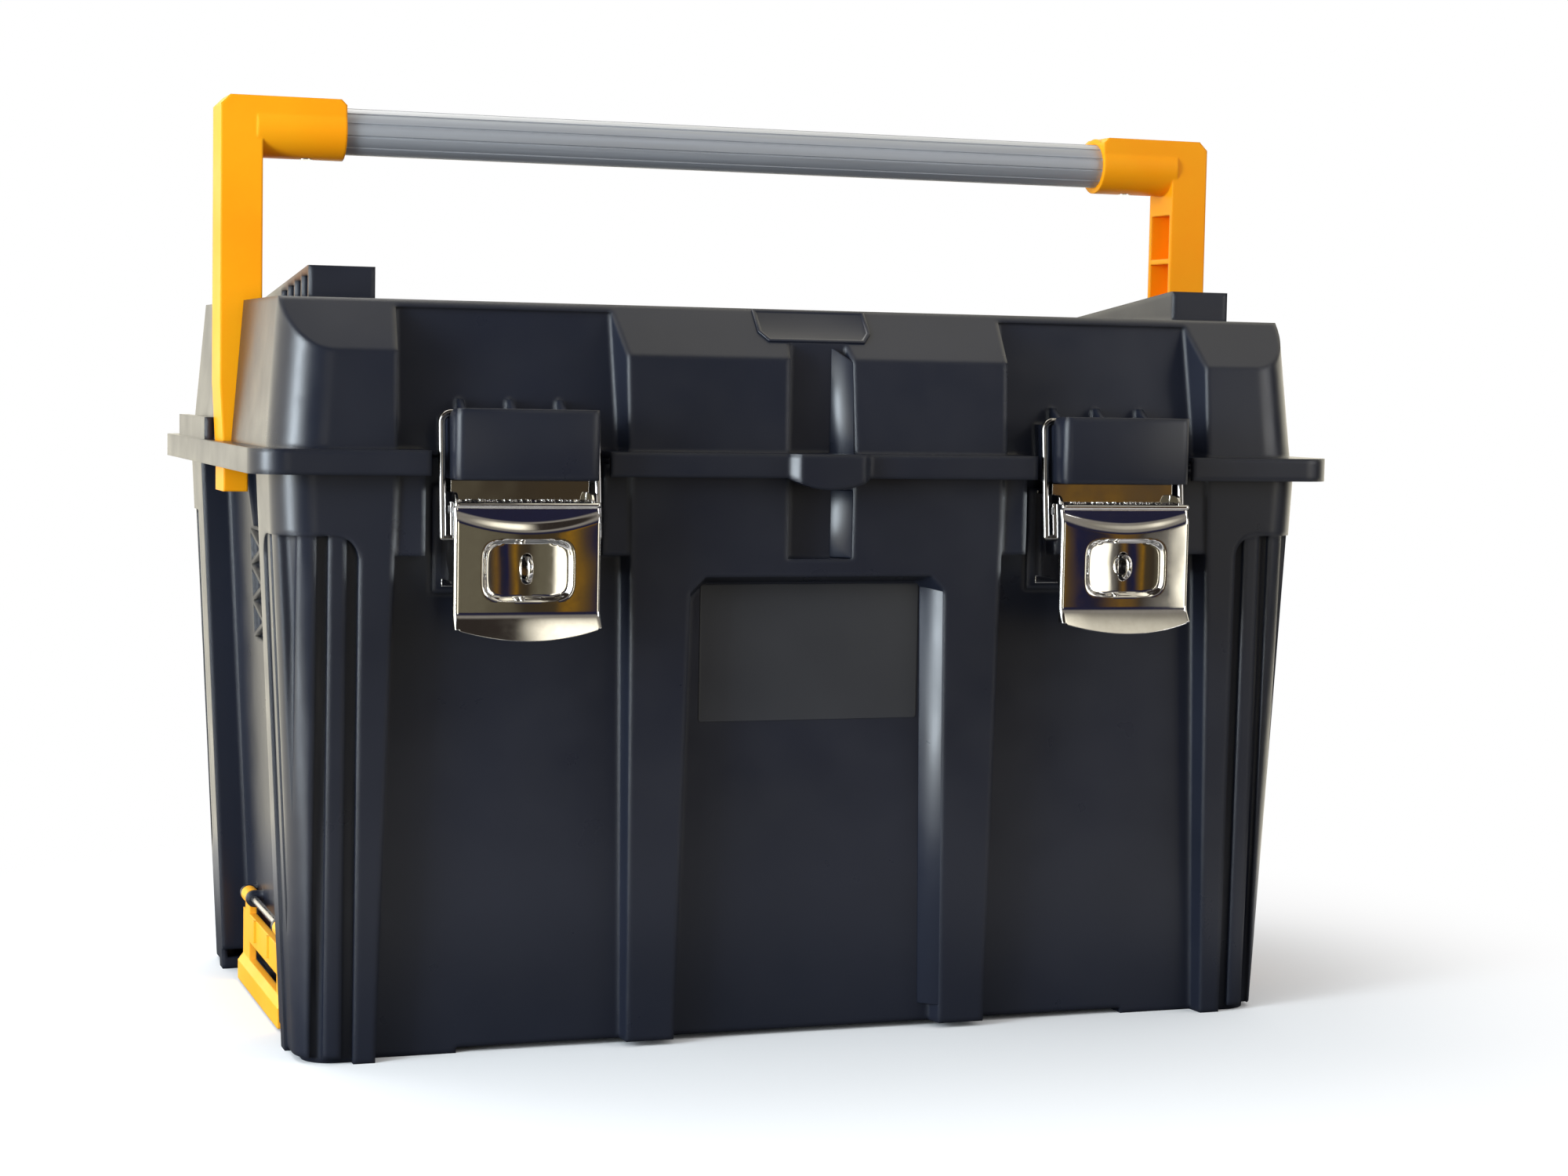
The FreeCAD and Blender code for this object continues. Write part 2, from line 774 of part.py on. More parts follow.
def lid_shell():
    outer = lid_form(0, lid_seat_z, lid_top_z)
    cavity = lid_form(lid_wall, lid_seat_z - overrun, lid_top_z - lid_wall)
    rim = lid_rim()
    slot = box(arm_inner_x - slot_floor_gap, arm_outer_x + arm_slot_gap, -arm_half_depth - slot_side_gap,
               arm_half_depth + slot_side_gap, 0, rim_length)
    cuts = [slot, mirrored(slot)]
    for side in (-1, 1):
        x = side * latch_x
        cuts.append(box(x - notch_half, x + notch_half, lid_recess_low_y, -rim_depth, 0,
                        lid_seat_z + rim_plate))
    shell = fused([outer, rim.cut(cavity)]).cut([cavity] + cuts)
    extras = [both_ends(wedge()), both_ends(rim_bump()), both_ends(hook_block()),
              both_ends(lid_knuckle())]
    return fused([shell] + extras)


def hinge_pin():
    half = knuckle_width * HALF + knuckle_gap + knuckle_width
    return rod(hinge_x - half, hinge_y, hinge_z, X_AXIS, hinge_pin_r, 2 * half)


def handle_tube():
    """Drawn tube with lengthwise grooves."""
    half = sleeve_end_x + tube_in_sleeve
    tube = rod(-half, 0, tube_z, X_AXIS, tube_r, 2 * half)
    cuts = [rod(-half, 0, tube_z, X_AXIS, tube_r - tube_wall, 2 * half)]
    for i in range(tube_grooves):
        angle = 2 * math.pi * (i + HALF) / tube_grooves
        y = tube_r * math.cos(angle)
        z = tube_z + tube_r * math.sin(angle)
        cuts.append(rod(-sleeve_end_x, y, z, X_AXIS, tube_groove_r, 2 * sleeve_end_x))
    for side in (-1, 1):
        cuts.append(rod(side * screw_x, 0, tube_z - sleeve_r, Z_AXIS, screw_r, sleeve_r))
    return tube.cut(cuts)


def handle_arm():
    """Arm and sleeve at +X, with open cells in the arm's inner side."""
    top = tube_z + sleeve_r
    outline = ((arm_inner_x, top), (arm_inner_x, arm_taper_high_z), (arm_tip_inner_x, arm_taper_low_z),
               (arm_tip_inner_x, arm_low_z), (arm_tip_outer_x, arm_low_z),
               (arm_tip_outer_x, arm_taper_low_z), (arm_outer_x, arm_taper_high_z),
               (arm_outer_x, top - arm_chamfer), (arm_outer_x - arm_chamfer, top))
    arm = front_prism(outline, -arm_half_depth, arm_half_depth)
    reach = arm_inner_x - sleeve_end_x
    sleeve = rod(sleeve_end_x, 0, tube_z, X_AXIS, sleeve_r, reach + arm_wall)
    head = front_prism(((sleeve_end_x + arm_wall, top), (sleeve_end_x, top - arm_wall),
                        (sleeve_end_x, tube_z), (arm_inner_x, tube_z), (arm_inner_x, top)),
                       -arm_half_depth, arm_half_depth)
    lug_top = lid_seat_z - seat_gap
    half = arm_half_depth + arm_lug_proud
    lug = box(arm_tip_inner_x, arm_tip_outer_x, -half, half, lug_top - arm_lug_height, lug_top)
    cell = (arm_pocket_high_z - arm_pocket_low_z) / arm_cells
    cuts = []
    for i in range(arm_cells):
        low = arm_pocket_low_z + i * cell
        cuts.append(box(0, arm_tip_outer_x - arm_wall, arm_wall - arm_half_depth,
                        arm_half_depth - arm_wall, low, low + cell - arm_wall))
    bore_end = sleeve_end_x + tube_in_sleeve + tube_fit
    arm = fused([arm.cut(cuts), sleeve, head, lug])
    bore = rod(0, 0, tube_z, X_AXIS, tube_r + tube_fit, bore_end)
    screw_hole = rod(screw_x, 0, tube_z - 2 * sleeve_r, Z_AXIS, screw_r, 2 * sleeve_r)
    sink = rod(screw_x, 0, tube_z - 2 * sleeve_r, Z_AXIS, screw_head_r, sleeve_r + screw_head)
    return arm.cut([bore, screw_hole, sink])


def handle_screw():
    low = tube_z - sleeve_r
    head = rod(screw_x, 0, low, Z_AXIS, screw_head_r, screw_head)
    shank = rod(screw_x, 0, low, Z_AXIS, screw_r, screw_length)
    return head.fuse(shank).removeSplitter()


def latch_base():
    """Pressed base bracket at +X: back plate, two ears and a front bridge."""
    back_y = recess_floor_y - pad_proud
    plate = box(latch_x - base_half, latch_x + base_half, back_y, back_y - steel, base_low_z, base_high_z)
    pieces = [plate]
    for side in (-1, 1):
        outer = latch_x + side * base_half
        ear = box(outer, outer - side * steel, back_y, ear_front_y, ear_low_z, ear_high_z)
        corners = [e for e in ear.Edges if e.BoundBox.XLength > steel * HALF
                   and e.BoundBox.YMax < ear_front_y + seat_gap]
        pieces.append(ear.makeFillet(ear_round, corners))
    pieces.append(box(latch_x - base_half, latch_x + base_half, bridge_front_y, bridge_front_y + steel,
                      bridge_low_z, bridge_high_z))
    bracket = fused(pieces)
    cuts = [rod(x, back_y + overrun, z, V(0, -1, 0), rivet_r, 2 * overrun) for x, z in rivet_places(1)]
    cuts.append(rod(0, lever_pin_y, lever_pin_z, X_AXIS, lever_pin_r, rim_length))
    return bracket.cut(cuts)


def rivets():
    """All rivets of the two base brackets."""
    solids = []
    front = recess_floor_y - pad_proud - steel
    back = recess_floor_y + wall
    for side in (-1, 1):
        for x, z in rivet_places(side):
            shank = rod(x, front, z, Y_AXIS, rivet_r, back - front)
            head = rod(x, front - rivet_head, z, Y_AXIS, rivet_head_r, rivet_head)
            tail = rod(x, back, z, Y_AXIS, rivet_head_r, rivet_head)
            solids.append(head.multiFuse([shank, tail]).removeSplitter())
    return Part.makeCompound([s.Solids[0] for s in solids])


def lever_pin():
    return rod(latch_x - lever_pin_half, lever_pin_y, lever_pin_z, X_AXIS, lever_pin_r, 2 * lever_pin_half)


def lever():
    """Pressed lever at +X: face, dished window, rolled top, flared lip and side flanges."""
    left = latch_x - lever_half
    right = latch_x + lever_half
    back = lever_front_y + steel
    face = box(left, right, lever_front_y, back, lever_crease_z, lever_top_z)
    lip = side_prism(((back, lever_crease_z), (lever_front_y, lever_crease_z),
                      (lever_front_y - lever_lip_out, lever_lip_z),
                      (back - lever_lip_out, lever_lip_z)), left, right)
    sag = (lever_half ** 2 + lever_lip_rise ** 2) / (2 * lever_lip_rise)
    bow = rod(latch_x, 0, lever_lip_z + sag, V(0, -1, 0), sag, rim_depth)
    lip = lip.common(bow)
    roll = rod(left, lever_front_y + lever_roll_r, lever_top_z - lever_roll_r, X_AXIS, lever_roll_r,
               2 * lever_half)
    boss = box(latch_x - dish_half - steel, latch_x + dish_half + steel, lever_front_y,
               lever_front_y + dish_depth + steel, dish_low_z - steel, dish_high_z + steel)
    well = box(latch_x - dish_half, latch_x + dish_half, lever_front_y - steel,
               lever_front_y + dish_depth, dish_low_z, dish_high_z)
    slot = box(latch_x - slot_half, latch_x + slot_half, -rim_depth, 0, slot_low_z, slot_high_z)
    margin = lever_pin_z - bail_pivot_z
    outline = ((lever_front_y, lever_top_z), (lever_pin_y, lever_top_z), (flange_back_y, lever_pin_z),
               (flange_back_y, bail_pivot_z - margin * HALF), (lever_front_y, bail_pivot_z - 2 * margin))
    flanges = [side_prism(outline, left, left + steel), side_prism(outline, right - steel, right)]
    solid = fused([face, lip, roll, boss] + flanges)
    pin = rod(0, lever_pin_y, lever_pin_z, X_AXIS, lever_pin_r + pin_running, rim_length)
    hole = rod(0, bail_pivot_y, bail_pivot_z, X_AXIS, bail_wire_r + bail_running, rim_length)
    return solid.cut([well, slot, pin, hole])


def bail():
    """Bent wire bail at +X, its bar across the top of the hook block."""
    bar_z = hook_top_z + bail_wire_r + bail_rest_gap
    inner = base_half + bail_stub_gap
    points = []
    for side in (-1, 1):
        end = (latch_x + side * inner, bail_pivot_y, bail_pivot_z)
        elbow = (latch_x + side * bail_half, bail_pivot_y, bail_pivot_z)
        shoulder = (latch_x + side * bail_half, bail_bar_y, bar_z)
        points += [end, elbow, shoulder] if side < 0 else [shoulder, elbow, end]
    upper = bent_wire([points[1]] + points[2:4] + [points[4]], bail_wire_r, bail_bend_r)
    stubs = []
    for side in (-1, 1):
        x = latch_x + side * inner
        stubs.append(rod(x, bail_pivot_y, bail_pivot_z, V(side, 0, 0), bail_wire_r, bail_half - inner))
        stubs.append(Part.makeSphere(bail_wire_r, V(latch_x + side * bail_half, bail_pivot_y, bail_pivot_z)))
    return fused([upper] + stubs)


def padlock_staple():
    """Wire staple at +X that stands through the lever's slot."""
    back_y = recess_floor_y - pad_proud - steel
    nose_y = staple_bend_y - staple_bend_r
    points = ((latch_x, back_y, staple_z + staple_bend_r), (latch_x, nose_y, staple_z + staple_bend_r),
              (latch_x, nose_y, staple_z - staple_bend_r), (latch_x, back_y, staple_z - staple_bend_r))
    slack = seat_gap * HALF
    return bent_wire(points, staple_wire_r, staple_bend_r - slack)


def clip():
    """Side clip at +X: plate with two prongs, a wide slot, short ribs and a bevelled foot."""
    face = clip_floor_x(clip_pin_z) + clip_gap
    outer = face + clip_wall
    plate = box(face, outer, -clip_half, clip_half, clip_low_z, clip_body_z)
    foot = front_prism(((outer, clip_low_z), (outer + clip_lip_x, clip_low_z),
                        (outer + clip_lip_x, clip_slot_low_z - clip_wall), (outer, clip_slot_low_z)),
                       -clip_half, clip_half)
    pieces = [plate, foot]
    for side in (-1, 1):
        low = side * clip_prong_y - clip_prong_half
        pieces.append(box(face, outer, low, low + 2 * clip_prong_half, clip_body_z - clip_wall, clip_pin_z))
        pieces.append(rod(clip_pin_x(), low, clip_pin_z, Y_AXIS, clip_knuckle_r, 2 * clip_prong_half))
        rib = side * clip_rib_y
        pieces.append(box(outer, outer + clip_rib_proud, rib, rib + clip_rib_wall,
                          clip_slot_high_z + clip_wall, clip_body_z))
    solid = fused(pieces)
    slot = box(0, rim_length, -clip_slot_half, clip_slot_half, clip_slot_low_z, clip_slot_high_z)
    pin = rod(clip_pin_x(), -clip_half, clip_pin_z, Y_AXIS, clip_pin_r + pin_running, 2 * clip_half)
    return solid.cut([slot, pin])


def build():
    """Every node by name, with mirrored pairs for what stands at both ends."""
    nodes = {
        "bin_shell": bin_shell(),
        "lid_shell": lid_shell(),
        "handle_tube": handle_tube(),
        "handle_screws": Part.makeCompound([handle_screw(), mirrored(handle_screw())]),
        "latch_rivets": rivets(),
    }
    pairs = {
        "hinge_pin": hinge_pin(),
        "handle_arm": handle_arm(),
        "latch_base": latch_base(),
        "lever_pin": lever_pin(),
        "lever": lever(),
        "bail": bail(),
        "padlock_staple": padlock_staple(),
        "side_clip": clip(),
        "clip_pin": clip_pin(),
    }
    for name, shape in pairs.items():
        nodes[name + "_right"] = shape
        nodes[name + "_left"] = mirrored(shape)
    return nodes


def main():
    nodes = build()
    whole = Part.makeCompound(list(nodes.values())).BoundBox
    shift = V(0, -HALF * (whole.YMin + whole.YMax), 0)
    os.makedirs("parts", exist_ok=True)
    for name, shape in nodes.items():
        solids = shape.Solids
        placed = solids[0] if len(solids) == 1 else Part.makeCompound(solids)
        placed = placed.translated(shift)
        placed.exportStep("parts/" + name + ".step")
        print(name, len(solids), placed.isValid(), round(placed.Volume))
    print("shift in Y", round(shift.y, 3))


main()
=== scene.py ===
import json
import math

import bmesh
import bpy
from mathutils import Matrix, Vector


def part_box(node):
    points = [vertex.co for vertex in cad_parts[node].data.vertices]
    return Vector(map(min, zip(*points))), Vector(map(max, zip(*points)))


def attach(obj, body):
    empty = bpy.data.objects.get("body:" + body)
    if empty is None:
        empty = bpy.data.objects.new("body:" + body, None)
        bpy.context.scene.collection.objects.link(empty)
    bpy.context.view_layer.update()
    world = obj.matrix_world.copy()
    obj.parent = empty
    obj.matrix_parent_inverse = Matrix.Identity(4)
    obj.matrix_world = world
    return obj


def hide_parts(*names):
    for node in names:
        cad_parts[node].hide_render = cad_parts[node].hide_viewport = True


# Looks of a large moulded toolbox. Metres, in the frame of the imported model:
# +X along the length, +Y towards the hinge, +Z up, the latches face -Y.

MM = 0.001

# Camera, fitted to the view of the photograph
CAMERA_PLACE = (-519.3 * MM, -1569.1 * MM, 346.2 * MM)
CAMERA_YAW = math.radians(19.395)
CAMERA_PITCH = math.radians(4.08)
CAMERA_ROLL = math.radians(1.066)
LENS_PIXELS = 3694.6
FRAME_PIXELS = 2000.0
SENSOR_MM = 36.0
CLIP_START = 0.05
CLIP_END = 100.0

# Linear colours of the finishes: the plain one and the one it varies to
BLACKS = ((0.0105, 0.0125, 0.0210), (0.0145, 0.0168, 0.0275))
FILMS = ((0.0270, 0.0285, 0.0340), (0.0340, 0.0355, 0.0410))
ORANGES = ((1.0, 0.385, 0.006), (1.0, 0.315, 0.003))
YELLOWS = ((1.0, 0.50, 0.05), (1.0, 0.41, 0.02))
TUBES = ((0.41, 0.42, 0.45), (0.45, 0.465, 0.50))
CHROMES = ((0.80, 0.79, 0.78), (0.72, 0.70, 0.68))
WIRES = ((0.30, 0.29, 0.29), (0.24, 0.23, 0.22))
STEELS = ((0.52, 0.52, 0.54), (0.42, 0.41, 0.40))

# Light of the backdrop and the lamps
WHITE = (1.0, 1.0, 1.0)
COOL_WHITE = (0.80, 0.91, 1.0)

# Noises: scale, detail, roughness and stretch along the piece's axes
PLAIN_STRETCH = (1, 1, 1)
TONE_NOISE = (9.0, 4.0, 0.5, PLAIN_STRETCH)
SHEEN_NOISE = (30.0, 6.0, 0.5, PLAIN_STRETCH)
GRAIN_NOISE = (2600.0, 2.0, 0.5, PLAIN_STRETCH)
STREAK_NOISE = (420.0, 3.0, 0.6, (0.02, 1, 1))
RUB_NOISE = (160.0, 5.0, 0.6, PLAIN_STRETCH)
WAVE_NOISE = (34.0, 1.0, 0.5, PLAIN_STRETCH)
STAIN_NOISE = (240.0, 4.0, 0.5, PLAIN_STRETCH)
NOISE_MIDDLE = (0.3, 0.7)

# Parts of the noise over which a colour changes
TONE_CHANGE = (0.35, 0.68)
STREAK_CHANGE = (0.3, 0.7)
RUB_CHANGE = (0.3, 0.75)

# Bumps: strength and distance
GRAIN_STRENGTH = 0.12
GRAIN_FAINT = 0.04
GRAIN_DISTANCE = 0.00006
STREAK_BUMP = (0.12, 0.00005)
WAVE_BUMP = (0.3, 0.0007)
STAIN_BUMP = (0.15, 0.0001)

# Roughness, specular level and rounding of edges of each finish
BLACK_ROUGH = (0.27, 0.36)
BLACK_LEVEL = 0.42
SHELL_EDGE = 4.2 * MM
CRISP_EDGE = 0.6 * MM
FILM_ROUGH = (0.30, 0.36)
FILM_LEVEL = 0.45
FILM_EDGE = 0.3 * MM
ARM_ROUGH = (0.38, 0.48)
ARM_LEVEL = 0.12
ARM_EDGE = 1.8 * MM
CLIP_ROUGH = (0.36, 0.46)
CLIP_LEVEL = 0.15
CLIP_EDGE = 1.0 * MM
TUBE_ROUGH = (0.50, 0.60)
TUBE_METALLIC = 0.6
CHROME_ROUGH = (0.03, 0.08)
CHROME_EDGE = 0.5 * MM
WIRE_ROUGH = (0.10, 0.18)
STEEL_ROUGH = (0.2, 0.36)
EDGE_SAMPLES = 6

# Share and depth of the light that enters the arms and the clips
ARM_GLOW = (0.12, (0.004, 0.002, 0.0006))
CLIP_GLOW = (0.15, (0.004, 0.0025, 0.0008))

# Pieces made here, in the model's frame
SMOOTH_ANGLE = math.radians(35)
LEVER_SMOOTH_ANGLE = math.radians(40)
HOOK_SOFT_ANGLE = math.radians(50)
ROUND_SEGMENTS = 5
THIN_SEGMENTS = 2

# A direction with more than this share on an axis runs along it
ALONG = 0.9

# Bare film on the front panel
PANEL_Y = -136.25 * MM
FILM_HALF = 61.0 * MM
FILM_LOW_Z = 168.0 * MM
FILM_HIGH_Z = 240.0 * MM
FILM_THICK = 0.3 * MM
FILM_CORNER = 1.5 * MM
FILM_BORDER = 0.8 * MM
FILM_RAISED = FILM_THICK / 3

# Bare framed plate on the lid's sloping front edge
BEVEL_TOP = (0, -122.4 * MM, 383.9 * MM)
BEVEL_FOOT = (0, -139.6 * MM, 366.0 * MM)
PLATE_HALF = 31.4 * MM
PLATE_RISE = 11.6 * MM
PLATE_PROUD = 1.0 * MM
PLATE_BORDER = 1.6 * MM
PLATE_STEP = 0.6 * MM
PLATE_SOFT = 0.3 * MM
PLATE_CUT_SHARE = -0.42
PLATE_FOOT_SHARE = 0.85
PLATE_MIDDLE_SHARE = 0.5
PLATE_SUNK_SHARE = 0.6

# Pressed lever, from its crease: sizes of the sheet, its strip, bead, dish, lip and flanges
LEVER_HALF = 37.5 * MM
LEVER_BEND = 2.0 * MM
LEVER_HEIGHT = 55.5 * MM
LEVER_STEP = 1.4 * MM
LEVER_CROWN = 0.9 * MM
LEVER_SHEET = 1.2 * MM
LEVER_COLUMNS = 150
LEVER_ROWS = 90
ROW_POWER = 1.35
FACE_SHARE = 0.80
BEND_SHARE = 0.88
CURL_AT_LIP = 0.15
STRIP_SIDE = 6.3 * MM
STRIP_MIDDLE = 12.5 * MM
STRIP_BLEND = 3.2 * MM
STRIP_TILT = 0.10
BEAD_R = 1.3 * MM
DISH_HALF = 23.6 * MM
DISH_RISE = 15.3 * MM
DISH_MIDDLE = 21.9 * MM
DISH_POWER = 5.0
DISH_WALL = 1.8 * MM
DISH_WALL_SHARE = 0.13
DISH_BOWL = 2.2 * MM
CREASE_SOFT = 0.6 * MM
LIP_DROP = 12.5 * MM
LIP_RISE = 5.6 * MM
LIP_OUT = 7.5 * MM
LIP_EVEN_SHARE = 0.75
FLANGE_DEEP = 20.5 * MM
FLANGE_TOP_DROP = 4.0 * MM
FLANGE_TOP_CUT = 8.0 * MM
FLANGE_LOW = 9.5 * MM
FLANGE_FULL = 30.5 * MM
SLOT_MARGIN = 1.1 * MM
SLOT_END_SHARE = 0.98
SLOT_SEGMENTS = 8

# Slanted right walls of the grooves and the panel, in mm: foot and mouth, low end first
SLANTED_WALLS = (
    (
        "lid_groove_wall",
        "lid",
        (7.6, -139.1, 307.6),
        (17.9, -150.9, 307.6),
        (7.6, -139.1, 365.0),
        (17.8, -147.1, 356.9),
    ),
    (
        "bin_groove_wall",
        "bin",
        (7.6, -142.1, 254.3),
        (17.8, -150.2, 254.2),
        (7.6, -142.1, 290.0),
        (17.9, -150.2, 290.0),
    ),
    (
        "panel_wall",
        "bin",
        (65.3, -136.2, 12.5),
        (75.3, -146.2, 12.5),
        (61.4, -136.2, 238.0),
        (70.9, -149.6, 241.0),
    ),
)
SLANT_SOFT = 0.7 * MM

# Front of the hook blocks
BAIL_WIRE = 1.8 * MM
HOOK_HALF = 36.7 * MM
HOOK_SKIN = 1.6 * MM
HOOK_LOW_Z = 295.0 * MM
HOOK_BAR_GAP = 3.0 * MM
HOOK_LIP_OVER = 0.7 * MM
HOOK_ROUND = 3.5 * MM
HOOK_CORNER = 3.8 * MM
HOOK_SOFT = 0.8 * MM
HOOK_SEGMENTS = 3

# Floor: a round sheet that turns into the white backdrop away from the object, between two distances
FLOOR_RADIUS = 0.64
FLOOR_EDGES = 128
FLOOR_FADE = (0.34, 0.60)
FLOOR_ROUGH = 0.95
FLOOR_TONES = ((0.15, 0.15, 0.15), (0.93, 0.93, 0.93))

# What gloss sees round the object, by direction: each pair is where a change starts and ends
PALE_WALL = (1.9, 1.79, 1.46)
LEFT_CHANGE = (0.62, 0.80)
BACK_CHANGE = (-0.05, 0.25)
ABOVE_CHANGE = (0.60, 0.85)
ABOVE_ACROSS = (0.22, 0.29)
DIM_ACROSS = (0.33, 0.40)
DIM_SHARE = 0.6
WINDOW_MIDDLES = (-0.01, 0.61)
WINDOW_HALF = 0.085
WINDOW_SIDE_SOFT = 0.2
WINDOW_LEVEL = 0.02
WINDOW_TALL = 0.2
WINDOW_TOP_SOFT = 0.15

# The dim room in front: its walls by place across, then its upper part and ceiling by height
ROOM_WALLS = (
    (0.17, (0.135, 0.120, 0.080)),
    (0.215, (0.100, 0.085, 0.055)),
    (0.24, (0.045, 0.034, 0.022)),
    (0.295, (0.060, 0.042, 0.020)),
    (0.312, (0.270, 0.135, 0.012)),
    (0.335, (0.100, 0.060, 0.020)),
    (0.36, (0.012, 0.014, 0.045)),
    (0.40, (0.020, 0.018, 0.030)),
    (0.43, (0.170, 0.090, 0.018)),
    (0.465, (0.045, 0.036, 0.028)),
    (0.50, (0.150, 0.140, 0.125)),
)
ROOM_UPPER = ((0.018, 0.018, 0.042), (0.26, 0.24, 0.21))
ROOM_CEILING = (0.030, 0.024, 0.020)
WALL_TOP_CHANGE = (0.0, 0.12)
UPPER_CHANGE = (0.30, 0.52)
CEILING_CHANGE = (0.60, 0.72)

# Even light on the object, from below and from above
FILL_LEVELS = (0.24, 0.78)
FILL_CHANGE = (-0.05, 0.5)

# Softboxes: name, place, width, height, watts and tint
LAMP_TARGET = (0, 0, 0.22)
SOFTBOXES = (
    ("left_softbox", (-1.9, -0.8, 0.9), 1.5, 1.7, 26, COOL_WHITE),
    ("top_softbox", (-0.5, 1.0, 2.1), 1.8, 1.2, 18, WHITE),
    ("left_strip", (-1.9, -0.8, 0.42), 0.5, 0.95, 38, COOL_WHITE),
    ("right_fill", (1.9, -1.5, 0.9), 1.0, 1.2, 12, WHITE),
)

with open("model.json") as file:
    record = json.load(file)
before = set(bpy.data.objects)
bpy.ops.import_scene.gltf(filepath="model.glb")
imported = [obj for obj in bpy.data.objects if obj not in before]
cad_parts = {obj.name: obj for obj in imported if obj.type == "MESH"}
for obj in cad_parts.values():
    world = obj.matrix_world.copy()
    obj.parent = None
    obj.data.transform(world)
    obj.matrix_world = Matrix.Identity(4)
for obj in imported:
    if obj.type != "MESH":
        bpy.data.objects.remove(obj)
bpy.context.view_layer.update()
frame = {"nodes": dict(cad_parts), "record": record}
nodes = frame["nodes"]


def new_material(name):
    """A material with its node tree and its shader."""
    material = bpy.data.materials.new(name)
    material.use_nodes = True
    tree = material.node_tree
    shader = tree.nodes["Principled BSDF"]
    return material, tree, shader


def add(tree, kind, **values):
    """A new node with its settings."""
    node = tree.nodes.new(kind)
    for key, value in values.items():
        setattr(node, key, value)
    return node


def link(tree, source, target):
    tree.links.new(source, target)


def feed(tree, socket, value):
    """A plain number or colour, or another node's output, goes into a socket."""
    if isinstance(value, (int, float)):
        socket.default_value = value
    elif isinstance(value, tuple):
        socket.default_value = (*value, 1)
    else:
        link(tree, value, socket)


def object_noise(tree, scale, detail, roughness, stretch):
    """Noise on the piece's own coordinates."""
    place = add(tree, "ShaderNodeTexCoord")
    mapping = add(tree, "ShaderNodeMapping")
    mapping.inputs["Scale"].default_value = stretch
    noise = add(tree, "ShaderNodeTexNoise")
    noise.inputs["Scale"].default_value = scale
    noise.inputs["Detail"].default_value = detail
    noise.inputs["Roughness"].default_value = roughness
    link(tree, place.outputs["Object"], mapping.inputs["Vector"])
    link(tree, mapping.outputs["Vector"], noise.inputs["Vector"])
    return noise.outputs["Fac"]


def ramp(tree, value, change, colours):
    """One colour that turns into a second one over a range of the value."""
    node = add(tree, "ShaderNodeValToRGB")
    for element, position, colour in zip(node.color_ramp.elements, change, colours):
        element.position = position
        element.color = (*colour, 1)
    link(tree, value, node.inputs["Fac"])
    return node.outputs["Color"]


def spread(tree, value, limits):
    """The noise's middle range, mapped to two limits."""
    node = add(tree, "ShaderNodeMapRange")
    node.inputs["From Min"].default_value, node.inputs["From Max"].default_value = NOISE_MIDDLE
    node.inputs["To Min"].default_value, node.inputs["To Max"].default_value = limits
    link(tree, value, node.inputs["Value"])
    return node.outputs["Result"]


def soft_edges(tree, radius):
    """Normals rounded over each edge, as a mould leaves them."""
    node = add(tree, "ShaderNodeBevel", samples=EDGE_SAMPLES)
    node.inputs["Radius"].default_value = radius
    return node.outputs["Normal"]


def bump(tree, height, strength, distance, normal=None):
    """Normals tilted by a height, on top of other normals where they are given."""
    node = add(tree, "ShaderNodeBump")
    node.inputs["Strength"].default_value = strength
    node.inputs["Distance"].default_value = distance
    link(tree, height, node.inputs["Height"])
    if normal is not None:
        link(tree, normal, node.inputs["Normal"])
    return node.outputs["Normal"]


def moulded_plastic(name, colours, rough, level, edge, grain=GRAIN_STRENGTH):
    """Satin moulded plastic: uneven tone, fine grain and softened edges."""
    material, tree, shader = new_material(name)
    tone = object_noise(tree, *TONE_NOISE)
    link(tree, ramp(tree, tone, TONE_CHANGE, colours), shader.inputs["Base Color"])
    sheen = object_noise(tree, *SHEEN_NOISE)
    link(tree, spread(tree, sheen, rough), shader.inputs["Roughness"])
    fine = object_noise(tree, *GRAIN_NOISE)
    normal = bump(tree, fine, grain, GRAIN_DISTANCE, soft_edges(tree, edge))
    link(tree, normal, shader.inputs["Normal"])
    shader.inputs["Specular IOR Level"].default_value = level
    return material


def glowing_plastic(name, colours, rough, level, edge, glow):
    """Moulded plastic in bright colours, which light enters a little."""
    material = moulded_plastic(name, colours, rough, level, edge)
    shader = material.node_tree.nodes["Principled BSDF"]
    share, depth = glow
    shader.inputs["Subsurface Weight"].default_value = share
    shader.inputs["Subsurface Radius"].default_value = depth
    shader.inputs["Subsurface Scale"].default_value = 1.0
    return material


def metal(name, noise, change, colours, rough, metallic=1.0):
    """Metal whose tone and roughness follow one noise, which is given back too."""
    material, tree, shader = new_material(name)
    rub = object_noise(tree, *noise)
    link(tree, ramp(tree, rub, change, colours), shader.inputs["Base Color"])
    link(tree, spread(tree, rub, rough), shader.inputs["Roughness"])
    shader.inputs["Metallic"].default_value = metallic
    return material, tree, shader, rub


def drawn_aluminium():
    """Satin tube, drawn lengthwise along X."""
    material, tree, shader, streak = metal(
        "drawn_aluminium", STREAK_NOISE, STREAK_CHANGE, TUBES, TUBE_ROUGH, TUBE_METALLIC
    )
    link(tree, bump(tree, streak, *STREAK_BUMP), shader.inputs["Normal"])
    return material


def mirror_chrome():
    """Polished plate with faint rub marks, slightly wavy from pressing."""
    material, tree, shader, _ = metal("mirror_chrome", RUB_NOISE, RUB_CHANGE, CHROMES, CHROME_ROUGH)
    wave = object_noise(tree, *WAVE_NOISE)
    link(tree, bump(tree, wave, *WAVE_BUMP, soft_edges(tree, CHROME_EDGE)), shader.inputs["Normal"])
    return material


